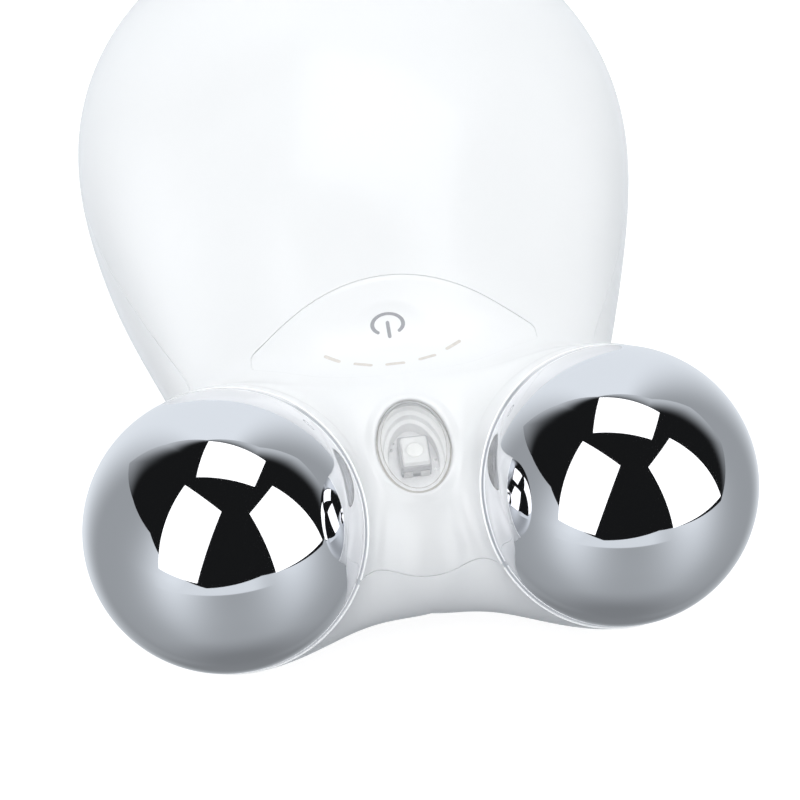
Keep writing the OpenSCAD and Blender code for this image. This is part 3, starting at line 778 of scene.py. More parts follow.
def build_shells():
    top = shell(1)
    bottom = shell(-1)
    upper, lower = [], []
    for k in (-1, 1):
        pts, t, wall, land = cup_edge(k)
        g = grad(pts)
        inward = CUP[k].vec(np.stack([-np.cos(t), -np.sin(t), np.zeros(len(t))], -1))
        flat = np.broadcast_to(CUP[k].r[:, 2], inward.shape)
        side = np.where(wall[:, None], inward, flat)
        bis = g + side
        bis /= np.linalg.norm(bis, axis=1, keepdims=True)
        rr = 0.09 * np.clip((land - 0.04) / 0.12, 0.1, 1)
        c = pts - bis * (0.5 * rr)[:, None]
        # keep each half's bead on its own side of the seam
        for lst, sel in ((upper, (c[:, 2] > PART_Z + 0.06) & (land > 0.05)), (lower, (c[:, 2] < PART_Z - 0.06) & (land > 0.05))):
            idx = np.where(sel)[0]
            if len(idx) == 0:
                continue
            brk = np.where(np.diff(idx) > 1)[0]
            runs = np.split(idx, brk + 1)
            if len(runs) > 1 and runs[0][0] == 0 and runs[-1][-1] == len(c) - 1:
                runs[0] = np.concatenate([runs.pop(), runs[0]])
            for r in runs:
                if len(r) > 3:
                    lst.append(sweep(c[r], rr[r][:, None, None], 10, closed=False))
    # rounded edge of the key's opening, crisp behind and fading in front
    o = key_outline(0.0, 120)
    z = top_z(o[:, 0], o[:, 1])
    p = np.c_[o, z]
    g = grad(p)
    tang = np.roll(p, -1, 0) - np.roll(p, 1, 0)
    tang /= np.linalg.norm(tang, axis=1, keepdims=True)
    outw = np.cross(tang, g)
    cen = np.array([0, 19.5])
    flip = ((p[:, :2] - cen) * outw[:, :2]).sum(1) < 0
    outw[flip] *= -1
    w = np.clip((p[:, 1] - 17.6) / 1.6, 0, 1)
    rad = 0.02 + 0.035 * w
    a = np.linspace(0, 2 * np.pi, 10, endpoint=False)
    nrm = np.cos(a)[None, :, None] * outw[:, None] + np.sin(a)[None, :, None] * g[:, None]
    ctr = p + outw * (rad * 0.75)[:, None] - g * (rad * 0.62)[:, None]
    verts = (ctr[:, None] + rad[:, None, None] * nrm).reshape(-1, 3)
    upper.append((verts, grid_faces(len(p), 10, True, True), nrm.reshape(-1, 3)))
    for o, node, parts, rims in ((top, "top_shell", upper, upper[:-1]), (bottom, "bottom_shell", lower, lower)):
        own = glow_faces_in_cups(o)
        add_parts(o, parts)
        finish_piece(o, M["shell"], "housing", [node])
        # the cups' walls and rims: the walls glow faintly as painted light in the shaded cups, and the rim beads glow
        # as a painted highlight
        o.data.materials.append(M["cup_wall"])
        o.data.materials.append(M["cup_rim"])
        idx = np.zeros(len(o.data.polygons), np.int32)
        idx[:len(own)] = own
        idx[len(own):len(own) + sum(len(q[1]) for q in rims)] = 2
        o.data.polygons.foreach_set("material_index", idx)
    return top, bottom


# ---------------------------------------------------------- window collar
def window_collar():
    prof = [(1.25, -0.012), (1.1, 0.0), (0.95, 0.02), (0.8, 0.05), (0.65, 0.085), (0.5, 0.115), (0.38, 0.13), (0.27, 0.125),
            (0.18, 0.1), (0.1, 0.055), (0.045, -0.01), (0.015, -0.09), (0.0, -0.2), (0.0, -0.6), (0.0, -0.93), (0.3, -0.93)]
    n = 200
    rows = []
    for e, h in prof:
        xy = oval_ring(e, n)
        s = win_skin(xy)
        rows.append(WIN.out(np.c_[xy, s + h if h > -0.5 else np.minimum(s + h, 0 * s + h)]))
    v = np.stack(rows, 0)
    o = raw_object("window_collar", v.reshape(-1, 3), grid_faces(len(prof), n, True))
    fix_normals(o)
    # make the sheet face outwards
    me = o.data
    c = np.array([p.center for p in me.polygons])
    nn = np.array([p.normal for p in me.polygons])
    k = len(c) // 2
    up = turn(WIN.vec([0, 0, 1.0]))
    sel = np.arange(len(c)) < n * 5
    if (nn[sel] @ up).mean() < 0:
        me.flip_normals()
    # exact normals where it runs into the skin
    smooth(o)
    du = np.roll(v, -1, 1) - np.roll(v, 1, 1)
    dv = np.gradient(v, axis=0)
    nr = np.cross(du, dv)
    nr /= np.maximum(np.linalg.norm(nr, axis=-1, keepdims=True), 1e-9)
    if (nr[4] @ WIN.vec([0, 0, 1.0])).mean() < 0:
        nr = -nr
    g = grad(v[0])
    nr[0] = g
    nr[1] = 0.6 * g + 0.4 * nr[1]
    me.normals_split_custom_set_from_vertices(turn(nr.reshape(-1, 3)).tolist())
    finish_piece(o, M["shell"], "housing", ())
    return o


def oval_loft(name, prof, n=160, skin_top=False, cap_first=False, cap_last=False, closed=False):
    rows = []
    for e, s in prof:
        xy = oval_ring(e, n)
        rows.append(WIN.out(np.c_[xy, np.full(n, float(s))]))
    v = np.vstack(rows)
    f = grid_faces(len(prof), n, True, closed)
    if cap_first:
        f.append(tuple(range(n)))
    if cap_last:
        f.append(tuple((len(prof) - 1) * n + k for k in range(n)))
    o = raw_object(name, v, f)
    fix_normals(o)
    return o


def window_parts():
    # clear lens: its top follows the skin, with a rounded rim
    n = 160
    rings = [(-0.04, None, -0.95), (-0.04, None, -0.22)]
    verts = []
    xy = oval_ring(-0.04, n)
    s = win_skin(xy)
    verts.append(WIN.out(np.c_[xy, np.full(n, -0.95)]))
    for e, h in ((-0.04, -0.24), (-0.05, -0.17), (-0.09, -0.11), (-0.17, -0.075), (-0.42, -0.05), (-0.47, -0.048)):
        xy = oval_ring(e, n)
        verts.append(WIN.out(np.c_[xy, win_skin(xy) + h]))
    base = oval_ring(-0.47, n)
    for q in (0.85, 0.7, 0.55, 0.4, 0.25, 0.1):
        xy = base * q
        verts.append(WIN.out(np.c_[xy, win_skin(xy) - 0.05 + 0.1 * (1 - q * q)]))
    rows = len(verts)
    v = np.vstack(verts)
    f = grid_faces(rows, n, True)
    f.append(tuple((rows - 1) * n + k for k in range(n)))
    f.append(tuple(range(n)))
    lens = raw_object("window_lens", v, f)
    fix_normals(lens)
    smooth(lens, 50)
    finish_piece(lens, M["glass"], "housing", ["led_window"])
    lens.data.materials.append(M["lens_edge"])
    # the rim rows and a thin band further in take the darker tint: painted shade at the gap to the collar, and a thin
    # darker band inside it
    for k in list(range(n, n * 4)) + list(range(n * 5, n * 6)):
        lens.data.polygons[k].material_index = 1
    # stepped reflector ring; its material glows faintly, painted light in the shaded window recess
    prof = [(0.5, -1.55), (0.02, -1.55), (-0.06, -1.6), (-0.09, -1.72), (-0.09, -2.02), (-0.13, -2.1), (-0.2, -2.13),
            (-0.52, -2.13), (-0.6, -2.17), (-0.63, -2.26), (-0.63, -2.66), (-0.67, -2.74), (-0.74, -2.77), (-0.98, -2.77),
            (-1.05, -2.81), (-1.08, -2.9), (-1.08, -3.96), (0.5, -3.96)]
    bez = oval_loft("window_reflector", prof, closed=True)
    smooth(bez, 35)
    finish_piece(bez, M["bezel"], "housing", ["window_bezel"])
    # board with two bare pads
    board = oval_loft("window_board", [(0.5, -4.8), (0.5, -4.05), (0.45, -4.0)], cap_first=True, cap_last=True)
    smooth(board, 30)
    finish_piece(board, M["board"], "housing", ["window_led_board"])
    pads = []
    allv, allf = [], []
    for x, y, r in ((-1.5, 2.9, 0.11), (-1.86, 2.2, 0.19), (2.05, 0.6, 0.13), (1.95, -0.4, 0.13)):
        vv, ff = prism(ring_outline(r, 24, x, y), -3.999, -3.96, WIN)
        off = sum(len(a) for a in allv)
        allv.append(vv)
        allf += [tuple(i + off for i in f) for f in ff]
    pad = raw_object("window_board_pads", np.vstack(allv), allf)
    fix_normals(pad)
    smooth(pad, 30)
    finish_piece(pad, M["tin"], "housing", ())
    # the lamp: moulded body with a round well, darker foot and tinned ends; the body and well glow faintly as painted
    # light, and the darker side wall, top edge and foot are painted shade
    LF = Frame(WIN.out([0.12, LED_Y, 0]), WIN.r)

    m = 144
    ang = np.linspace(0, 2 * np.pi, m, endpoint=False) + 0.001

    def rect(hx, hy, p=14.0, cx=0.0, cy=0.0):
        """Rectangle with small round corners, one point for each angle."""
        c, q = np.cos(ang), np.sin(ang)
        r = (np.abs(c / hx) ** p + np.abs(q / hy) ** p) ** (-1 / p)
        return np.c_[cx + r * c, cy + r * q]

    def circ(r, cx=0.0, cy=0.0):
        return np.c_[cx + r * np.cos(ang), cy + r * np.sin(ang)]

    rows = [(rect(1.4, 1.75), -3.5), (rect(1.4, 1.75), -2.62), (rect(1.38, 1.73), -2.56), (rect(1.34, 1.69), -2.54),
            (rect(1.22, 1.5, 14, 0.05, -0.1), -2.5), (rect(1.19, 1.46, 14, 0.05, -0.1), -2.46), (rect(1.16, 1.43, 14, 0.05, -0.1), -2.16), (rect(1.12, 1.39, 14, 0.05, -0.1), -2.11),
            (rect(1.06, 1.33, 10, 0.05, -0.1), -2.1), (circ(0.84, 0.05, -0.1), -2.1), (circ(0.82, 0.05, -0.1), -2.115), (circ(0.76, 0.05, -0.1), -2.22), (circ(0.74, 0.05, -0.1), -2.23)]
    v = np.vstack([LF.out(np.c_[xy, np.full(m, z)]) for xy, z in rows])
    f = grid_faces(len(rows), m, True)
    f.append(tuple(range(m)))
    f.append(tuple((len(rows) - 1) * m + k for k in range(m)))
    led = raw_object("window_lamp_body", v, f)
    fix_normals(led)
    smooth(led, 40)
    finish_piece(led, M["led_body_painted_glow"], "housing", ["window_led"])
    # the lamp's side wall and top edge take the darker grey: painted shade
    led.data.materials.append(M["led_side_painted_shade"])
    for k in range(m * 4):
        led.data.polygons[k].material_index = 1
    rows = [(circ(0.735, 0.05, -0.1), -2.25), (circ(0.735, 0.05, -0.1), -2.17), (circ(0.6, 0.05, -0.1), -2.14), (circ(0.35, 0.05, -0.1), -2.12), (circ(0.16, 0.05, -0.1), -2.115),
            (circ(0.12, 0.05, -0.1), -2.13), (circ(0.04, 0.05, -0.1), -2.135)]
    v = np.vstack([LF.out(np.c_[xy, np.full(m, z)]) for xy, z in rows])
    f = grid_faces(len(rows), m, True)
    f.append(tuple(range(m)))
    f.append(tuple((len(rows) - 1) * m + k for k in range(m)))
    gel = raw_object("window_lamp_gel", v, f)
    fix_normals(gel)
    smooth(gel, 60)
    finish_piece(gel, M["led_gel_painted_glow"], "housing", ())
    # dark grey foot under the lamp body: painted shade beneath it
    rows = [(rect(1.36, 1.71), -3.99), (rect(1.36, 1.71), -3.5)]
    v = np.vstack([LF.out(np.c_[xy, np.full(m, z)]) for xy, z in rows])
    f = grid_faces(2, m, True)
    f.append(tuple(range(m)))
    f.append(tuple(m + k for k in range(m)))
    foot = raw_object("window_lamp_foot", v, f)
    fix_normals(foot)
    smooth(foot, 30)
    finish_piece(foot, M["led_foot_painted_shade"], "housing", ())
    allv, allf = [], []
    for sx, sy in ((-1, 1), (1, 1), (-1, -1), (1, -1)):
        vv, ff = box_mesh(sx * 0.75 - 0.42, sx * 0.75 + 0.42, sy * 1.74 - 0.06, sy * 1.74 + 0.06, -3.985, -3.1, LF)
        off = sum(len(a) for a in allv)
        allv.append(vv)
        allf += [tuple(i + off for i in q) for q in ff]
    ends = raw_object("window_lamp_contacts", np.vstack(allv), allf)
    fix_normals(ends)
    smooth(ends, 30)
    finish_piece(ends, M["tin"], "housing", ())


LED_Y = 0.75


# --------------------------------------------------------------- the key
def dish_z(x, y, z):
    """Height of the key's top with its finger dish, which a sphere of radius 15.6 cuts."""
    x, y, z = np.broadcast_arrays(x, y, z)
    q = ((x + 0.35) / 3.55) ** 2 + ((y - 19.5) / 2.45) ** 2
    rim = ss(1 - (23.0 - np.hypot(x, y - 1.3)) / 0.55) * ss((y - 15.6) / 2.5)
    return z - 0.12 * ss(1.15 - q) - 0.055 * rim


def key_top(x, y):
    return dish_z(np.asarray(x, float), np.asarray(y, float), top_z(x, y))


def key_normal(x, y):
    e = 0.02
    dx = (key_top(x + e, y) - key_top(x - e, y)) / (2 * e)
    dy = (key_top(x, y + e) - key_top(x, y - e)) / (2 * e)
    n = np.stack([-dx, -dy, np.ones_like(dx)], -1)
    return n / np.linalg.norm(n, axis=-1, keepdims=True)


def power_key():
    n_arc = 110
    gap = 0.006
    base = key_outline(0.0, n_arc)
    # crisp gap behind, closing to a hair line in front
    w = np.clip((base[:, 1] - 17.4) / 1.8, 0, 1)
    w = w * w * (3 - 2 * w)
    ins = 0.005 + (gap - 0.005) * w + 0.022 * ss((np.abs(base[:, 0]) - 10.5) / 2.5) * w
    tang = np.roll(base, -1, 0) - np.roll(base, 1, 0)
    nrm = np.c_[tang[:, 1], -tang[:, 0]]
    nrm /= np.linalg.norm(nrm, axis=1, keepdims=True)
    cen = np.array([0, 19.3])
    if ((base - cen) * nrm).sum(1).mean() < 0:
        nrm = -nrm
    edge = base - nrm * ins[:, None]
    fil = 0.008 + 0.035 * w  # radius of the rounded edge
    n = len(base)
    rows, ns = [], []
    # underside, side wall, rounded edge, then the top inwards
    zt = key_top(edge[:, 0], edge[:, 1])
    for k, drop in ((0, 1.6), (1, fil)):
        rows.append(np.c_[edge, zt - drop])
        ns.append(np.c_[nrm, np.zeros(n)])
    for a in (22.5, 45, 67.5, 90):
        c, s = math.cos(math.radians(a)), math.sin(math.radians(a))
        q = edge - nrm * (fil * (1 - c))[:, None]
        z = key_top(q[:, 0], q[:, 1]) - fil * (1 - s)
        rows.append(np.c_[q, z])
        kn = key_normal(q[:, 0], q[:, 1])
        m = np.c_[nrm, np.zeros(n)] * c + kn * s
        ns.append(m / np.linalg.norm(m, axis=1, keepdims=True))
    start = rows[-1][:, :2]
    ic = np.array([0.0, 19.6])
    for q in list(1 - np.linspace(0.02, 0.98, 44)):
        xy = ic + (start - ic) * q
        rows.append(np.c_[xy, key_top(xy[:, 0], xy[:, 1])])
        ns.append(key_normal(xy[:, 0], xy[:, 1]))
    v = np.vstack(rows + [[[ic[0], ic[1], float(key_top(np.array([ic[0]]), np.array([ic[1]]))[0])]]])
    nn = np.vstack(ns + [key_normal(np.array([ic[0]]), np.array([ic[1]]))])
    f = grid_faces(len(rows), n, True)
    lastrow = (len(rows) - 1) * n
    f += [(lastrow + k, lastrow + (k + 1) % n, len(v) - 1) for k in range(n)]
    # underside
    und = np.array([ic[0], ic[1], float(top_z(ic[0], ic[1])) - 1.6])
    v = np.vstack([v, und[None]])
    nn = np.vstack([nn, [[0, 0, -1.0]]])
    f += [((k + 1) % n, k, len(v) - 1) for k in range(n)]
    o = raw_object("power_button_cap", v, wind(v, f, nn))
    smooth(o)
    # per-corner normals: exact on top, plain underneath
    me = o.data
    vi = np.zeros(len(me.loops), np.int32)
    me.loops.foreach_get("vertex_index", vi)
    res = nn[vi]
    pn = np.array([p.normal for p in me.polygons])
    tot = np.array([p.loop_total for p in me.polygons])
    pid = np.repeat(np.arange(len(tot)), tot)
    low = unturn(pn)[:, 2] < -0.3
    res[low[pid]] = unturn(pn)[pid][low[pid]]
    me.normals_split_custom_set(turn(res).tolist())
    # stem and hooks that ride under the cap
    parts = [prism(ring_outline(2.2, 40, 0, 20), 1.65, 3.0), box_mesh(-3, 3, 22.8, 23.85, 2.3, 4.4), box_mesh(-3, 3, 22.8, 25.6, 2.3, 3.1),
             box_mesh(-3, 3, 14.5, 15.1, 0.3, 2.0), box_mesh(-3, 3, 12.9, 15.1, 0.3, 0.75)]
    allv, allf = [], []
    for vv, ff in parts:
        off = sum(len(a) for a in allv)
        allv.append(vv)
        allf += [tuple(i + off for i in q) for q in ff]
    st = raw_object("power_button_stem", np.vstack(allv), allf)
    fix_normals(st)
    smooth(st, 30)
    finish_piece(o, M["shell"], "power_button", ["power_key"])
    finish_piece(st, M["shell"], "power_button", ())


def strip_mesh(rows, lift, depth):
    """Closed strip over a grid of (x, y): top follows the key's surface plus lift, bottom depth below."""
    g = np.asarray(rows, float)
    r, c = g.shape[:2]
    z = key_top(g[..., 0].ravel(), g[..., 1].ravel()).reshape(r, c)
    top = np.concatenate([g, (z + lift)[..., None]], -1).reshape(-1, 3)
    bot = np.concatenate([g, (z - depth)[..., None]], -1).reshape(-1, 3)
    v = np.vstack([top, bot])
    n = r * c
    f = grid_faces(r, c)
    f += [tuple(n + i for i in q[::-1]) for q in grid_faces(r, c)]
    for i in range(r - 1):
        a, b = i * c, (i + 1) * c
        f += [(a, b, n + b, n + a), (b + c - 1, a + c - 1, n + a + c - 1, n + b + c - 1)]
    for j in range(c - 1):
        f += [(j + 1, j, n + j, n + j + 1), ((r - 1) * c + j, (r - 1) * c + j + 1, n + (r - 1) * c + j + 1, n + (r - 1) * c + j)]
    return v, f


def capsule_rows(p0, p1, hw, n=14, m=7):
    """Grid over a bar with round ends from p0 to p1, half width hw."""
    p0, p1 = np.array(p0, float), np.array(p1, float)
    d = p1 - p0
    L = np.linalg.norm(d)
    d /= L
    s = np.array([-d[1], d[0]])
    rows = []
    for k in range(n + 1):
        u = 0.5 - 0.5 * math.cos(math.pi * k / n)
        x = -hw + (L + 2 * hw) * u
        if x < 0:
            w = math.sqrt(max(hw * hw - x * x, 0))
        elif x > L:
            w = math.sqrt(max(hw * hw - (x - L) ** 2, 0))
        else:
            w = hw
        w = max(w, hw * 0.08)
        rows.append([p0 + d * x + s * w * t for t in np.linspace(-1, 1, m)])
    return np.array(rows)


def marks():
    # power sign: an open ring, foreshortened by the slope, and a bar
    th = np.radians(np.linspace(-90 + 44, 270 - 44, 72))
    icx, icy = -0.42, 19.97
    ar, br, hx, hy = 1.43, 0.95, 0.185, 0.125
    rows = []
    for t in th:
        q = np.array([math.cos(t), math.sin(t)])
        rows.append([(icx + (ar + hx * w) * q[0], icy + (br + hy * w) * q[1]) for w in (-1, -0.5, 0, 0.5, 1)])
    v1, f1 = strip_mesh(rows, 0.006, 0.3)
    v2, f2 = strip_mesh(capsule_rows((icx + 0.0, 20.1), (icx + 0.03, 18.78), 0.17), 0.006, 0.3)
    vs, fs = [v1, v2], [f1, f2]
    for t in (th[0], th[-1]):
        q = np.array([icx + ar * math.cos(t), icy + br * math.sin(t)])
        e = strip_mesh(capsule_rows(q - [0.001, 0], q + [0.001, 0], 0.155, 12, 7), 0.0062, 0.29)
        vs.append(e[0])
        fs.append(e[1])
    allf, off = [], 0
    for vv, ff in zip(vs, fs):
        allf += [tuple(i + off for i in q) for q in ff]
        off += len(vv)
    o = raw_object("power_icon", np.vstack(vs), allf)
    fix_normals(o)
    smooth(o, 40)
    finish_piece(o, M["icon"], "power_button", ["power_icon_inlay"])
    # five level marks
    marks_at = ((-5.92, 17.34, -35.5, 1.75), (-3.23, 15.96, -22.5, 1.85), (-0.31, 15.41, -1, 1.85), (2.71, 15.94, 18.5, 1.82), (5.31, 17.38, 32.5, 1.82))
    allv, allf, off = [], [], 0
    for x, y, a, l in marks_at:
        d = np.array([math.cos(math.radians(a)), math.sin(math.radians(a))])
        h = l / 2 - 0.165
        vv, ff = strip_mesh(capsule_rows(np.array([x, y]) - d * h, np.array([x, y]) + d * h, 0.165), 0.012, 1.2)
        allv.append(vv)
        allf += [tuple(i + off for i in q) for q in ff]
        off += len(vv)
    o = raw_object("level_marks", np.vstack(allv), allf)
    fix_normals(o)
    smooth(o, 40)
    finish_piece(o, M["bar"], "power_button", ["level_light_bars"])


# ------------------------------------------------------------- electrodes
def electrodes():
    nu = 256
    for k, node in ((-1, "electrode_ball_left"), (1, "electrode_ball_right")):
        r = 12.5
        b1 = math.acos(-11.9 / r)
        nv = 150
        prof = [(r * math.sin(b1 * i / nv), r * math.cos(b1 * i / nv)) for i in range(1, nv + 1)]
        flat = [(math.sqrt(r * r - 11.9 ** 2), -11.9), (1.5, -11.9)]
        bore = [(1.5, -11.9), (1.5, -6.5)]
        a = np.linspace(0, 2 * np.pi, nu, endpoint=False)
        verts, norms, faces = [np.array([[0, 0, r]])], [np.array([[0, 0, 1.0]])], []

        def ring(rr, z, n):
            verts.append(np.c_[rr * np.cos(a), rr * np.sin(a), np.full(nu, z)])
            norms.append(n)
        for rr, z in prof:
            ring(rr, z, np.c_[rr * np.cos(a), rr * np.sin(a), np.full(nu, z)] / r)
        for j in range(nu):
            faces.append((0, 1 + j, 1 + (j + 1) % nu))
        faces += grid_faces(nv, nu, True, off=1)
        off = 1 + nv * nu
        for rr, z in flat:
            ring(rr, z, np.tile([0, 0, -1.0], (nu, 1)))
        faces += grid_faces(2, nu, True, off=off)
        off += 2 * nu
        for rr, z in bore:
            ring(rr, z, -np.c_[np.cos(a), np.sin(a), np.zeros(nu)])
        faces += grid_faces(2, nu, True, off=off)
        off += 2 * nu
        ring(1.5, -6.5, np.tile([0, 0, -1.0], (nu, 1)))
        faces.append(tuple(off + j for j in range(nu)))
        v = STUD[k].out(np.vstack(verts))
        n = STUD[k].vec(np.vstack(norms))
        o = raw_object("ball_electrode_" + ("left" if k < 0 else "right"), v, wind(v, faces, n))
        me = o.data
        me.polygons.foreach_set("use_smooth", [True] * len(me.polygons))
        me.normals_split_custom_set_from_vertices(turn(n).tolist())
        finish_piece(o, M["chrome"], "housing", [node])


build_shells()
window_collar()
window_parts()
power_key()
marks()
electrodes()


# ------------------------------------------------------------------- stage
def plain(name, colour, rough=0.6, emission=0.0, own=None):
    m = bpy.data.materials.new(name)
    m.use_nodes = True
    p = m.node_tree.nodes["Principled BSDF"]
    p.inputs["Base Color"].default_value = (*colour, 1)
    p.inputs["Roughness"].default_value = rough
    p.inputs["Specular IOR Level"].default_value = 0.2
    if own:
        p.inputs["Emission Color"].default_value = (*own, 1)
        p.inputs["Emission Strength"].default_value = 1.0
    return m


def emitter(name, colour, strength):
    m = bpy.data.materials.new(name)
    m.use_nodes = True
    nt = m.node_tree
    nt.nodes.clear()
    out = nt.nodes.new("ShaderNodeOutputMaterial")
    e = nt.nodes.new("ShaderNodeEmission")
    e.inputs[0].default_value = (*colour, 1)
    e.inputs[1].default_value = strength
    nt.links.new(e.outputs[0], out.inputs[0])
    return m


def stage_mesh(name, verts, faces, mat, camera=True, glossy=True, diffuse=True, shadow=True):
    me = bpy.data.meshes.new(name)
    me.from_pydata([tuple(map(float, v)) for v in verts], [], faces)
    me.materials.append(mat)
    o = bpy.data.objects.new(name, me)
    bpy.context.scene.collection.objects.link(o)
    o.visible_camera, o.visible_glossy, o.visible_diffuse, o.visible_shadow = camera, glossy, diffuse, shadow
    o.visible_transmission = False if not camera else True
    return o


S = 2.5
quad = [(0, 1, 2, 3)]


def sheet_at(z):
    return [(-S, -S, z), (S, -S, z), (S, S, z), (-S, S, z)]


# The floor the camera sees keeps most of its own brightness, so shadows on it stay faint; the light that it throws
# up comes from a plain grey sheet just below it.
floor = stage_mesh("floor", sheet_at(0.0), quad, plain("floor_white", (0.30, 0.30, 0.305), 0.9, 0.0, (0.90, 0.90, 0.90)), glossy=False, diffuse=False, shadow=False)
stage_mesh("floor_bounce", sheet_at(-0.0003), quad, plain("floor_grey", (0.52, 0.53, 0.555), 0.9), camera=False, glossy=False, shadow=False)

# A white wall round the floor, seen only by the camera, for views from near the level of the floor.
ring = [(2.45 * math.cos(2 * math.pi * k / 48), 2.45 * math.sin(2 * math.pi * k / 48)) for k in range(48)]
wall = stage_mesh("wall", [(x, y, z) for z in (-0.01, 3.0) for x, y in ring],
                  [(k, (k + 1) % 48, 48 + (k + 1) % 48, 48 + k) for k in range(48)],
                  plain("wall_white", (0.0, 0.0, 0.0), 0.9, 0.0, (1.0, 1.0, 1.0)), glossy=False, diffuse=False, shadow=False)
wall.visible_transmission = False

# Studio seen only in reflections: the table, a dark canopy and three soft boxes.
EYE = np.array([0.0, -0.0373, 0.0148])


def direction(az, el):
    """az from -Y towards +X, el above the horizon, degrees."""
    a, e = math.radians(az), math.radians(el)
    return np.array([math.sin(a) * math.cos(e), -math.cos(a) * math.cos(e), math.sin(e)])


def card(name, corners, dist, mat, n=24):
    """Curved card spanning four directions, seen only in mirrors."""
    c = [direction(*q) if len(q) == 2 else np.array(q) / np.linalg.norm(q) for q in corners]
    v = []
    for i in range(n + 1):
        for j in range(n + 1):
            u, w = i / n, j / n
            d = (1 - u) * (1 - w) * c[0] + u * (1 - w) * c[1] + u * w * c[2] + (1 - u) * w * c[3]
            v.append(EYE + d / np.linalg.norm(d) * dist)
    return stage_mesh(name, v, grid_faces(n + 1, n + 1), mat, camera=False, diffuse=False, shadow=False)


def tinted(name, verts, faces, colours):
    """Glowing sheet, seen only in mirrors, coloured at its points."""
    m = bpy.data.materials.new(name)
    m.use_nodes = True
    nt = m.node_tree
    nt.nodes.clear()
    out = nt.nodes.new("ShaderNodeOutputMaterial")
    e = nt.nodes.new("ShaderNodeEmission")
    at = nt.nodes.new("ShaderNodeAttribute")
    at.attribute_name = "tone"
    nt.links.new(at.outputs["Color"], e.inputs[0])
    nt.links.new(e.outputs[0], out.inputs[0])
    o = stage_mesh(name, verts, faces, m, camera=False, diffuse=False, shadow=False)
    ca = o.data.attributes.new("tone", "FLOAT_COLOR", "POINT")
    ca.data.foreach_set("color", np.c_[colours, np.ones(len(colours))].astype(np.float32).ravel())
    return o


def room(d):
    """Brightness of the studio in direction d: pale behind, grey beside, a table lit by the soft boxes in front."""
    d = np.asarray(d, float)
    el = np.degrees(np.arcsin(np.clip(d[..., 2], -1, 1)))
    az = np.degrees(np.arctan2(d[..., 0], -d[..., 1]))
    far = np.abs(az)
    back_ = ss((far - 116) / 44)
    c = 0.31 + 0.43 * back_
    c = c + (0.22 - c) * ss((-el - 30) / 35) * ss((far - 95) / 60)
    f = np.clip((el + 68) / 62, 0, 1) ** 1.3
    lobes = 0.43 * np.exp(-((az + 44) / 24) ** 2) + 0.40 * np.exp(-((az - 48) / 26) ** 2)
    c = c + lobes * f + 0.02 * ss((-el - 10) / 30) * ss((110 - far) / 40)
    strip = ss((el + 15.3) / 0.8) * ss((az + 62) / 20) * ss((34 - az) / 20)
    c = c + np.maximum(0, 0.67 - c) * strip * (el < 0)
    c = c + (0.275 - c) * ss((-el - 58) / 24)
    c = c - 0.08 * ss((-el - 55) / 30)
    return np.clip(c, 0.02, 1)[..., None] * np.array([0.945, 1.0, 1.055]) / 0.90


lat, lon = np.radians(np.linspace(-89.5, 89.5, 240)), np.radians(np.linspace(-180, 180, 360, endpoint=False))
LA, LO = np.meshgrid(lat, lon, indexing="ij")
D = np.stack([np.sin(LO) * np.cos(LA), -np.cos(LO) * np.cos(LA), np.sin(LA)], -1).reshape(-1, 3)
sky_faces = grid_faces(240, 360, True) + [tuple(range(360)), tuple(239 * 360 + k for k in range(360))]
tinted("room_in_mirrors", EYE + D * 2.0, sky_faces, room(D))

white = emitter("soft_box", (1, 1, 1), 1.6)
R1 = 0.9
# outline of the dark canopy: direction, softness of its edge, brightness at the edge
RING = [((-.719, .617, .321), 0.35, 0.33), ((-.9, .171, .401), 0, 0), ((-.881, -.326, .342), 0, 0), ((-.72, -.694, .001), 0, 0),
        ((-.333, -.931, -.148), 0, 0), ((.37, -.927, -.075), 0, 0), ((.962, -.231, -.146), 0, 0), ((.962, .20, .157), 0.22, 0.30),
        ((.76, .36, .504), 0.30, 0.50), ((.45, .32, .82), 0.26, 0.58), ((-.108, .429, .897), 0.02, 0.4), ((-.482, .551, .681), 0.25, 0.5)]
ring, soft, edge = [], [], []
for k in range(len(RING)):
    (a, sa, ea), (b, sb, eb) = RING[k], RING[(k + 1) % len(RING)]
    a, b = np.array(a), np.array(b)
    for t in np.linspace(0, 1, 12, endpoint=False):
        ring.append(a + (b - a) * t)
        soft.append(sa + (sb - sa) * t)
        edge.append(ea + (eb - ea) * t)
soft, edge = np.array(soft), np.array(edge)
cen = direction(10, 60)
rows = 40
vs, cs = [], []
for i in range(rows + 1):
    t = i / rows
    for p in ring:
        d = cen * (1 - t) + p / np.linalg.norm(p) * t
        vs.append(EYE + d / np.linalg.norm(d) * R1)
    w = ss((t - (1 - soft)) / np.maximum(soft, 1e-3)) * (soft > 0.01)
    cs.append(0.009 + (edge - 0.009) * w)
cs = np.concatenate(cs)[:, None] * np.array([0.945, 1.0, 1.055])
tinted("dark_canopy", vs, grid_faces(rows + 1, len(ring), True), cs)
card("soft_box_top", [(-.089, .407, .909), (.53, .128, .838), (.413, -.289, .864), (-.302, -.102, .948)], R1 * 0.95, white)
card("soft_box_left", [(-.449, -.151, .881), (-.045, -.614, .788), (-.439, -.895, -.084), (-.824, -.562, .0)], R1 * 0.95, white)
card("soft_box_right", [(.619, -.202, .759), (.964, -.215, -.10), (.537, -.831, -.10), (.325, -.627, .708)], R1 * 0.95, white)

world = bpy.data.worlds.new("studio")
bpy.context.scene.world = world
world.use_nodes = True
bg = world.node_tree.nodes["Background"]
bg.inputs[0].default_value = (0.93, 0.955, 1.0, 1)
bg.inputs[1].default_value = 0.13


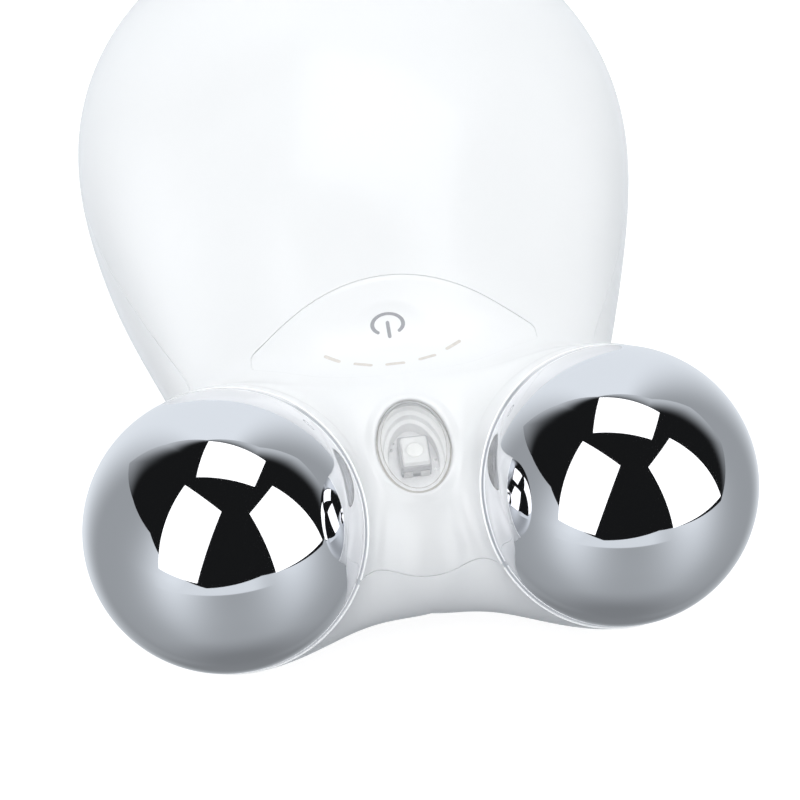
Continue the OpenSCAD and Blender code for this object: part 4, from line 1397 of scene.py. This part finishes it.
def area(name, loc, target, size, power, colour=(1, 1, 1), size_y=None):
    l = bpy.data.lights.new(name, "AREA")
    l.shape = "RECTANGLE"
    l.size = size
    l.size_y = size_y or size
    l.energy = power
    l.color = colour
    o = bpy.data.objects.new(name, l)
    bpy.context.scene.collection.objects.link(o)
    o.location = loc
    d = Vector(target) - Vector(loc)
    o.rotation_euler = d.to_track_quat("-Z", "Y").to_euler()
    o.visible_glossy = False
    o.visible_camera = False
    return o


area("overhead", (0.0, 0.12, 0.75), (0, 0.0, 0.02), 0.9, 3.1)
area("overhead_front", (0.0, -0.45, 0.7), (0, 0.0, 0.02), 0.5, 2.1)
area("overhead_back", (0.0, 0.65, 0.6), (0, 0.0, 0.02), 0.7, 0.4)
area("side_left", (-0.85, 0.05, 0.3), (0, 0.0, 0.02), 0.6, 4.1)
area("side_right", (0.85, 0.05, 0.3), (0, 0.0, 0.02), 0.6, 4.0)
area("front_left", (-0.5, -0.6, 0.45), (0, 0.0, 0.02), 0.5, 0.25)
area("front_low", (0.0, -0.85, 0.25), (0, 0.0, 0.02), 0.5, 1.6)

scene = bpy.context.scene
scene.view_settings.view_transform = "Standard"
scene.view_settings.look = "None"

# ------------------------------------------------------------------ camera
EL, AZ, ROLL = math.radians(44), math.radians(-5.61), math.radians(2.56)
MX, MY, DIST, F_PX = 1.97, -9.55, 240.0, 2719.5
right = np.array([math.cos(AZ), math.sin(AZ), 0])
up = np.array([-math.sin(AZ) * math.sin(EL), math.cos(AZ) * math.sin(EL), math.cos(EL)])
back = np.array([math.sin(AZ) * math.cos(EL), -math.cos(AZ) * math.cos(EL), math.sin(EL)])
r2 = math.cos(ROLL) * right - math.sin(ROLL) * up
u2 = math.sin(ROLL) * right + math.cos(ROLL) * up
pos = place(-MX * r2 - MY * u2 + DIST * back)
r2, u2, back = turn(r2), turn(u2), turn(back)
cam_data = bpy.data.cameras.new("camera")
cam_data.sensor_width = 36.0
cam_data.lens = F_PX / 800 * 36.0
cam_data.clip_start = 0.01
cam_data.clip_end = 20
cam = bpy.data.objects.new("camera", cam_data)
scene.collection.objects.link(cam)
m = Matrix.Identity(4)
for i in range(3):
    m[i][0], m[i][1], m[i][2], m[i][3] = r2[i], u2[i], back[i], pos[i]
cam.matrix_world = m
scene.camera = cam
